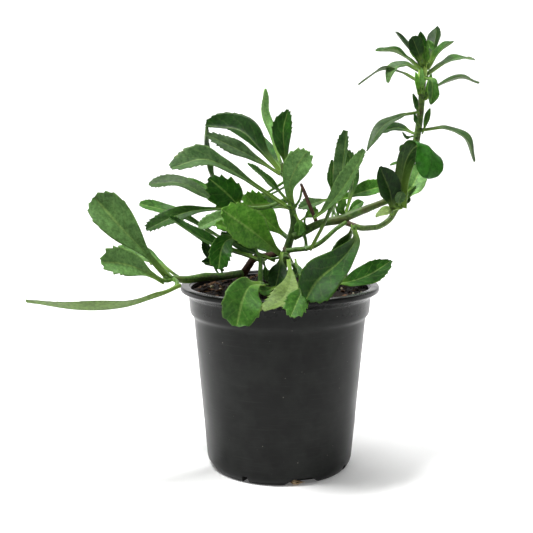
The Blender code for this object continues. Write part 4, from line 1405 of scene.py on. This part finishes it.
@dataclass
class Pot:
    """A thin-walled round nursery pot with a rolled rim, a collar and drain notches.

    Lengths are in millimetres and angles in degrees from the front towards +X. A notch has a
    width at the base and one at its top, and wide and narrow notches take turns round the foot.
    """

    wall: float = 1.6
    floor: float = 1.8
    steps: int = 144
    notch_height: float = 5.5
    notch_depth: float = 26.0
    notch_radius: float = 60.0
    notch_flare: float = 0.2
    notch_round: float = 0.7
    wide_notch: Pair = (28.0, 15.0)
    narrow_notch: Pair = (6.0, 5.0)
    notch_pairs: int = 4
    first_notch: float = 17.0
    smooth_below: float = 35.0

    def outline(self) -> list[Pair]:
        """Draw the pot's section.

        Returns:
            Radius and height of each ring: up the inner side, over the rim, down the outer side.
        """
        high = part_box("nursery_pot")[1]
        rim, top = high.x / MM, high.z / MM
        inner = [
            (20.0, self.floor), (48.0, self.floor), (54.0 - self.wall, self.floor + 0.1),
            (57.0 - self.wall, 5.0), (58.2 - self.wall, 9.4),
            (62.8 - self.wall, 62.0), (67.4 - self.wall, 116.0),
            (67.8 - self.wall, 120.0), (69.2 - self.wall, 122.6), (70.6 - self.wall, 124.6),
            (71.1 - self.wall, 132.0), (71.5 - self.wall, top - 2.4),
        ]
        lip = arc((72.6, top - 1.4), 1.4, 180, 90, 5)
        edge = arc((rim - 1.3, top - 1.3), 1.3, 90, 0, 6)
        under = arc((rim - 1.2, top - 3.0), 1.2, 0, -50, 4)
        outer = [
            (73.6, 138.3), (72.5, 137.2), (71.9, 136.6), (71.6, 135.6), (71.0, 128.6),
            (70.6, 124.4), (70.2, 123.2), (69.3, 121.9), (68.3, 120.7), (67.8, 119.4),
            (67.5, 117.0), (67.4, 115.5), (62.8, 62.0), (58.2, 9.0), (57.9, 6.8), (57.2, 4.2),
            (55.9, 1.6), (54.6, 0.35), (53.6, 0.0), (20.0, 0.0),
        ]
        return [*inner, *lip, *edge, *under, *outer]

    def cutter(self, widths: Pair, angle_deg: float) -> bpy.types.Object:
        """Make the wedge that cuts one drain notch.

        Args:
            widths: Width at the base and at the top, in millimetres.
            angle_deg: Where it is, turned from the front towards +X.

        Returns:
            The wedge, in its place.
        """
        deselect()
        bpy.ops.mesh.primitive_cube_add(size=1.0)
        item = bpy.context.object
        wide, narrow = widths
        for vertex in item.data.vertices:
            upper = vertex.co.z > 0
            vertex.co.x *= (narrow if upper else wide + (wide - narrow) * self.notch_flare) * MM
            vertex.co.y *= self.notch_depth * MM
            vertex.co.z = (self.notch_height if upper else -1.0) * MM
        apply_modifier(item, "BEVEL", width=self.notch_round * MM, segments=3)
        angle = math.radians(angle_deg)
        out = self.notch_radius * MM
        item.location = (out * math.sin(angle), -out * math.cos(angle), 0.0)
        item.rotation_euler = (0.0, 0.0, angle)
        bpy.context.view_layer.update()
        return item

    def build(self) -> None:
        """Build the pot, cut its notches and dress it."""
        pot = lathe("nursery_pot_shell", self.outline(), self.steps)
        spacing = 360.0 / self.notch_pairs
        for pair in range(self.notch_pairs):
            angle = self.first_notch + pair * spacing
            for widths, place in ((self.wide_notch, angle), (self.narrow_notch, angle + spacing / 2)):
                cutter = self.cutter(widths, place)
                apply_modifier(pot, "BOOLEAN", operation="DIFFERENCE", solver="EXACT", object=cutter)
                bpy.data.objects.remove(cutter)
        select_only(pot)
        bpy.ops.object.shade_smooth_by_angle(angle=math.radians(self.smooth_below))
        finish_piece(pot, PotSkin().make(), ["nursery_pot"])


@dataclass
class Soil:
    """Peat-based potting soil with crumbs, bark chips and perlite on top.

    Lengths are in millimetres. space is the gap between the root ball and the pot's outer face,
    whose radius is wall_radius where the mound meets it.
    """

    steps: int = 150
    rings: int = 46
    wall_radius: float = 71.0
    space: float = 2.1
    lump: float = 1.5
    lumps_per_metre: float = 95.0
    clods_per_metre: float = 330.0
    crumbs: int = 620
    chips: int = 120
    perlite: int = 26
    reach: float = 66.0
    edge: float = 139.0
    crown: float = 148.6
    lowest_top: float = 136.0
    ragged: float = 0.22
    tilt: float = 0.7
    sinking: float = 0.25

    def profile(self, radius: float) -> float:
        """Read the mound's smooth section.

        Args:
            radius: The distance from the middle, in millimetres.

        Returns:
            The height there, in millimetres.
        """
        crown, edge = self.crown, self.edge
        return float(np.interp(radius, (0.0, 20.0, 45.0, 60.0, 70.0),
                               (crown, crown - 0.7, crown - 4.4, edge + 1.6, edge)))

    def height(self, x: float, y: float) -> float:
        """Read the lumpy surface, with lumps of 10 mm and clods of 3 mm.

        Args:
            x: The place along X, in metres.
            y: The place along Y, in metres.

        Returns:
            The height there, in metres.
        """
        radius = math.hypot(x, y) / MM
        lumps = noise.fractal(Vector((x, y, 0.0)) * self.lumps_per_metre, 0.8, 2.1, 4)
        clods = abs(noise.noise(Vector((x, y, 0.4)) * self.clods_per_metre))
        return (self.profile(radius) + self.lump * (lumps * 0.8 + clods * 0.9 - 0.35)) * MM

    def build_ground(self) -> None:
        """Build the root ball's solid with its lumpy top."""
        first, last = 2.0, self.wall_radius - self.space
        tops = [first + (last - first) * i / self.rings for i in range(self.rings + 1)]
        rings = [(radius, self.profile(radius)) for radius in tops]
        rings += [(70.6 - self.space, 125.0), (67.8 - self.space, 121.2), (67.4 - self.space, 116.0),
                  (58.2 - self.space, 10.0), (45.0, 7.0), (43.0, 2.1)]
        ground = lathe("potting_soil_ball", rings, self.steps)
        for vertex in ground.data.vertices:
            x, y, z = vertex.co
            if z > self.lowest_top * MM:
                vertex.co.z = self.height(x, y)
        ground.data.shade_smooth()
        skin = CrumbSkin("Damp peat soil", "#080504", "#1f150e", 3.5 * MM)
        finish_piece(ground, skin.make(), ["potting_soil"])

    def template(self, kind: Grain) -> bpy.types.Object:
        """Make one ragged grain of size 1, to be copied at its real size.

        Args:
            kind: What it is: chips are flat-sided, and the others are round.

        Returns:
            The grain.
        """
        deselect()
        draw = random.Random(kind.value)
        if kind is Grain.CHIP:
            bpy.ops.mesh.primitive_cube_add(size=1.0)
            apply_modifier(bpy.context.object, "BEVEL", width=0.12, segments=1)
        else:
            levels = 2 if kind is Grain.PERLITE else 1
            bpy.ops.mesh.primitive_ico_sphere_add(subdivisions=levels, radius=0.5)
        item = bpy.context.object
        for vertex in item.data.vertices:
            vertex.co *= 1 + draw.uniform(-self.ragged, self.ragged)
        return item

    def scatter(self, kind: Grain, count: int, sizes: Pair, shape: Point, name: str,
                skin: CrumbSkin, fixed: Sequence[Pair] = ()) -> None:
        """Spread copies of one grain over the soil and join them.

        Args:
            kind: What is spread.
            count: How many grains there are.
            sizes: Smallest and largest size in millimetres.
            shape: The grain's proportions along its own axes.
            name: The joined piece's name.
            skin: The grains' finish.
            fixed: Places in millimetres where the first grains lie.
        """
        template = self.template(kind)
        draw = random.Random(name)
        made = []
        for number in range(count):
            if number < len(fixed):
                x, y = fixed[number][0] * MM, fixed[number][1] * MM
            else:
                angle, out = draw.uniform(0, math.tau), self.reach * math.sqrt(draw.random()) * MM
                x, y = out * math.cos(angle), out * math.sin(angle)
            size = draw.uniform(*sizes) * draw.uniform(0.6, 1.0) * MM
            scale = Matrix.Diagonal((*(share * size * draw.uniform(0.75, 1.25) for share in shape), 1.0))
            turn = Matrix.Rotation(draw.uniform(0, math.tau), 4, "Z")
            turn = turn @ Matrix.Rotation(draw.uniform(-self.tilt, self.tilt), 4, "X")
            turn = turn @ Matrix.Rotation(draw.uniform(-self.tilt, self.tilt), 4, "Y")
            lift = size * shape[2] * self.sinking
            place = Matrix.Translation((x, y, self.height(x, y) + lift))
            copy = bpy.data.objects.new(f"{kind.value}_{number}", template.data.copy())
            copy.data.transform(place @ turn @ scale)
            bpy.context.scene.collection.objects.link(copy)
            made.append(copy)
        bpy.data.objects.remove(template)
        finish_piece(join(made, name), skin.make())

    def build(self) -> None:
        """Build the ground and everything that lies on it."""
        self.build_ground()
        self.scatter(Grain.CRUMB, self.crumbs, (1.2, 4.2), (1.0, 0.8, 0.7), "peat_crumbs",
                     CrumbSkin("Peat crumbs", "#0b0705", "#35261a", 2.0 * MM))
        self.scatter(Grain.CHIP, self.chips, (3.0, 8.5), (1.0, 0.42, 0.2), "bark_chips",
                     CrumbSkin("Composted bark chips", "#352318", "#70533a", 1.6 * MM))
        self.scatter(Grain.PERLITE, self.perlite, (1.8, 4.2), (1.0, 0.9, 0.8), "perlite_grains",
                     CrumbSkin("Expanded perlite", "#a89a72", "#e2dbc4", 0.9 * MM),
                     fixed=((63, -14), (56, -22), (-46, -20), (-60, 4)))


# ---------------------------------------------------------------- set and camera


@dataclass(frozen=True)
class Lamp:
    """A square soft light: its place, its side in metres, its watts and the point that it faces."""

    name: str
    place: Point
    size: float
    power: float
    target: Point = (0.0, 0.0, 0.17)


LAMPS = (
    Lamp("key_light", (-0.5, -0.28, 1.35), 0.3, 25.0),
    Lamp("second_light", (0.7, -0.6, 1.1), 0.6, 2.6),
    Lamp("top_light", (0.05, -0.05, 1.5), 0.7, 3.6),
    Lamp("left_edge_light", (-0.9, 0.3, 0.3), 0.6, 1.5),
    Lamp("right_edge_light", (0.9, 0.3, 0.3), 0.6, 1.5),
    Lamp("back_light", (0.0, 0.4, 1.7), 1.0, 24.0, (0.0, 1.6, 0.3)),
)


@dataclass
class Studio:
    """A white sweep, soft lights and a camera in front of the plant. Lengths are in metres."""

    lens_mm: float = 58.3
    sensor_mm: float = 36.0
    camera_place: Point = (-0.0104, -0.673, 0.254)
    camera_pitch: float = 8.08
    floor_half: float = 2.5
    sweep_start: float = 0.9
    sweep_radius: float = 0.6
    sweep_steps: int = 12
    wall_height: float = 2.2
    glow: float = 0.1
    room_side: float = 0.2
    room_top: float = 0.06

    def paper(self) -> bpy.types.Material:
        """Make the sweep's finish: matt white paper, clouded a little, with a faint glow.

        Returns:
            The material.
        """
        material, tree, shader, place = new_material("White paper sweep")
        fleck = add_node(tree, "ShaderNodeTexNoise", {"Vector": place, "Scale": 3.0, "Detail": 2.0})
        tint = add_node(tree, "ShaderNodeMix",
                        {0: fleck.outputs[0], 6: linear("#f2f2f2"), 7: linear("#f7f7f6")},
                        data_type="RGBA")
        tree.links.new(tint.outputs[2], shader.inputs["Base Color"])
        shader.inputs["Roughness"].default_value = 0.9
        shader.inputs["Specular IOR Level"].default_value = 0.1
        shader.inputs["Emission Color"].default_value = (1.0, 1.0, 1.0, 1.0)
        shader.inputs["Emission Strength"].default_value = self.glow
        return material

    def build_floor(self) -> None:
        """Build the floor, curved up behind the plant."""
        deselect()
        bpy.ops.mesh.primitive_plane_add(size=1.0)
        floor = bpy.context.object
        floor.name = "studio_sweep"
        front, back = -self.floor_half, self.sweep_start
        for vertex in floor.data.vertices:
            behind = vertex.co.y > 0
            vertex.co = (math.copysign(self.floor_half, vertex.co.x), back if behind else front, 0.0)
        bpy.ops.object.mode_set(mode="EDIT")
        bpy.ops.mesh.select_mode(type="VERT")
        bpy.ops.mesh.select_all(action="DESELECT")
        bpy.ops.object.mode_set(mode="OBJECT")
        for vertex in floor.data.vertices:
            vertex.select = vertex.co.y > 0
        bpy.ops.object.mode_set(mode="EDIT")
        for step in range(self.sweep_steps):
            before, after = (math.radians(90 * (step + n) / self.sweep_steps) for n in (0, 1))
            move = (0.0, self.sweep_radius * (math.sin(after) - math.sin(before)),
                    self.sweep_radius * (math.cos(before) - math.cos(after)))
            bpy.ops.mesh.extrude_region_move(TRANSFORM_OT_translate={"value": move})
        rise = (0.0, 0.0, self.wall_height)
        bpy.ops.mesh.extrude_region_move(TRANSFORM_OT_translate={"value": rise})
        bpy.ops.object.mode_set(mode="OBJECT")
        floor.data.shade_smooth()
        floor.data.materials.append(self.paper())

    def hang(self, lamp: Lamp) -> None:
        """Add one light.

        Args:
            lamp: What it is and where it hangs.
        """
        light = bpy.data.lights.new(lamp.name, "AREA")
        light.size = lamp.size
        light.energy = lamp.power
        item = bpy.data.objects.new(lamp.name, light)
        item.location = lamp.place
        aim = Vector(lamp.target) - Vector(lamp.place)
        item.rotation_euler = aim.to_track_quat("-Z", "Y").to_euler()
        bpy.context.scene.collection.objects.link(item)

    def build_world(self) -> None:
        """Surround the set with a room that is pale at eye level and dim overhead."""
        world = bpy.data.worlds.new("Pale studio room")
        world.use_nodes = True
        tree = world.node_tree
        look = add_node(tree, "ShaderNodeTexCoord").outputs["Generated"]
        rise = add_node(tree, "ShaderNodeSeparateXYZ", {0: look}).outputs[2]
        fade = add_node(tree, "ShaderNodeMapRange",
                        {0: rise, 1: 0.05, 2: 0.55, 3: self.room_side, 4: self.room_top},
                        interpolation_type="SMOOTHSTEP")
        sky = tree.nodes["Background"]
        sky.inputs[0].default_value = (1.0, 1.0, 1.0, 1.0)
        tree.links.new(fade.outputs[0], sky.inputs[1])
        bpy.context.scene.world = world

    def place_camera(self) -> None:
        """Set the camera in front of the plant, a little above it and tipped down."""
        lens = bpy.data.cameras.new("front_camera")
        lens.lens = self.lens_mm
        lens.sensor_width = self.sensor_mm
        camera = bpy.data.objects.new("front_camera", lens)
        camera.location = self.camera_place
        camera.rotation_euler = (math.radians(90 - self.camera_pitch), 0.0, 0.0)
        bpy.context.scene.collection.objects.link(camera)
        bpy.context.scene.camera = camera
        bpy.context.scene.view_settings.view_transform = "Standard"

    def build(self) -> None:
        """Build the set, the lights and the camera."""
        self.build_floor()
        for lamp in LAMPS:
            self.hang(lamp)
        self.build_world()
        self.place_camera()


def main() -> None:
    """Build the set and every piece of the plant."""
    logging.basicConfig(level=logging.INFO, format="%(message)s")
    Studio().build()
    Pot().build()
    Soil().build()
    stems = Stems()
    stems.build_all()
    Roots().build(stems)
    Foliage().build_all()


if __name__ == "__main__":
    main()
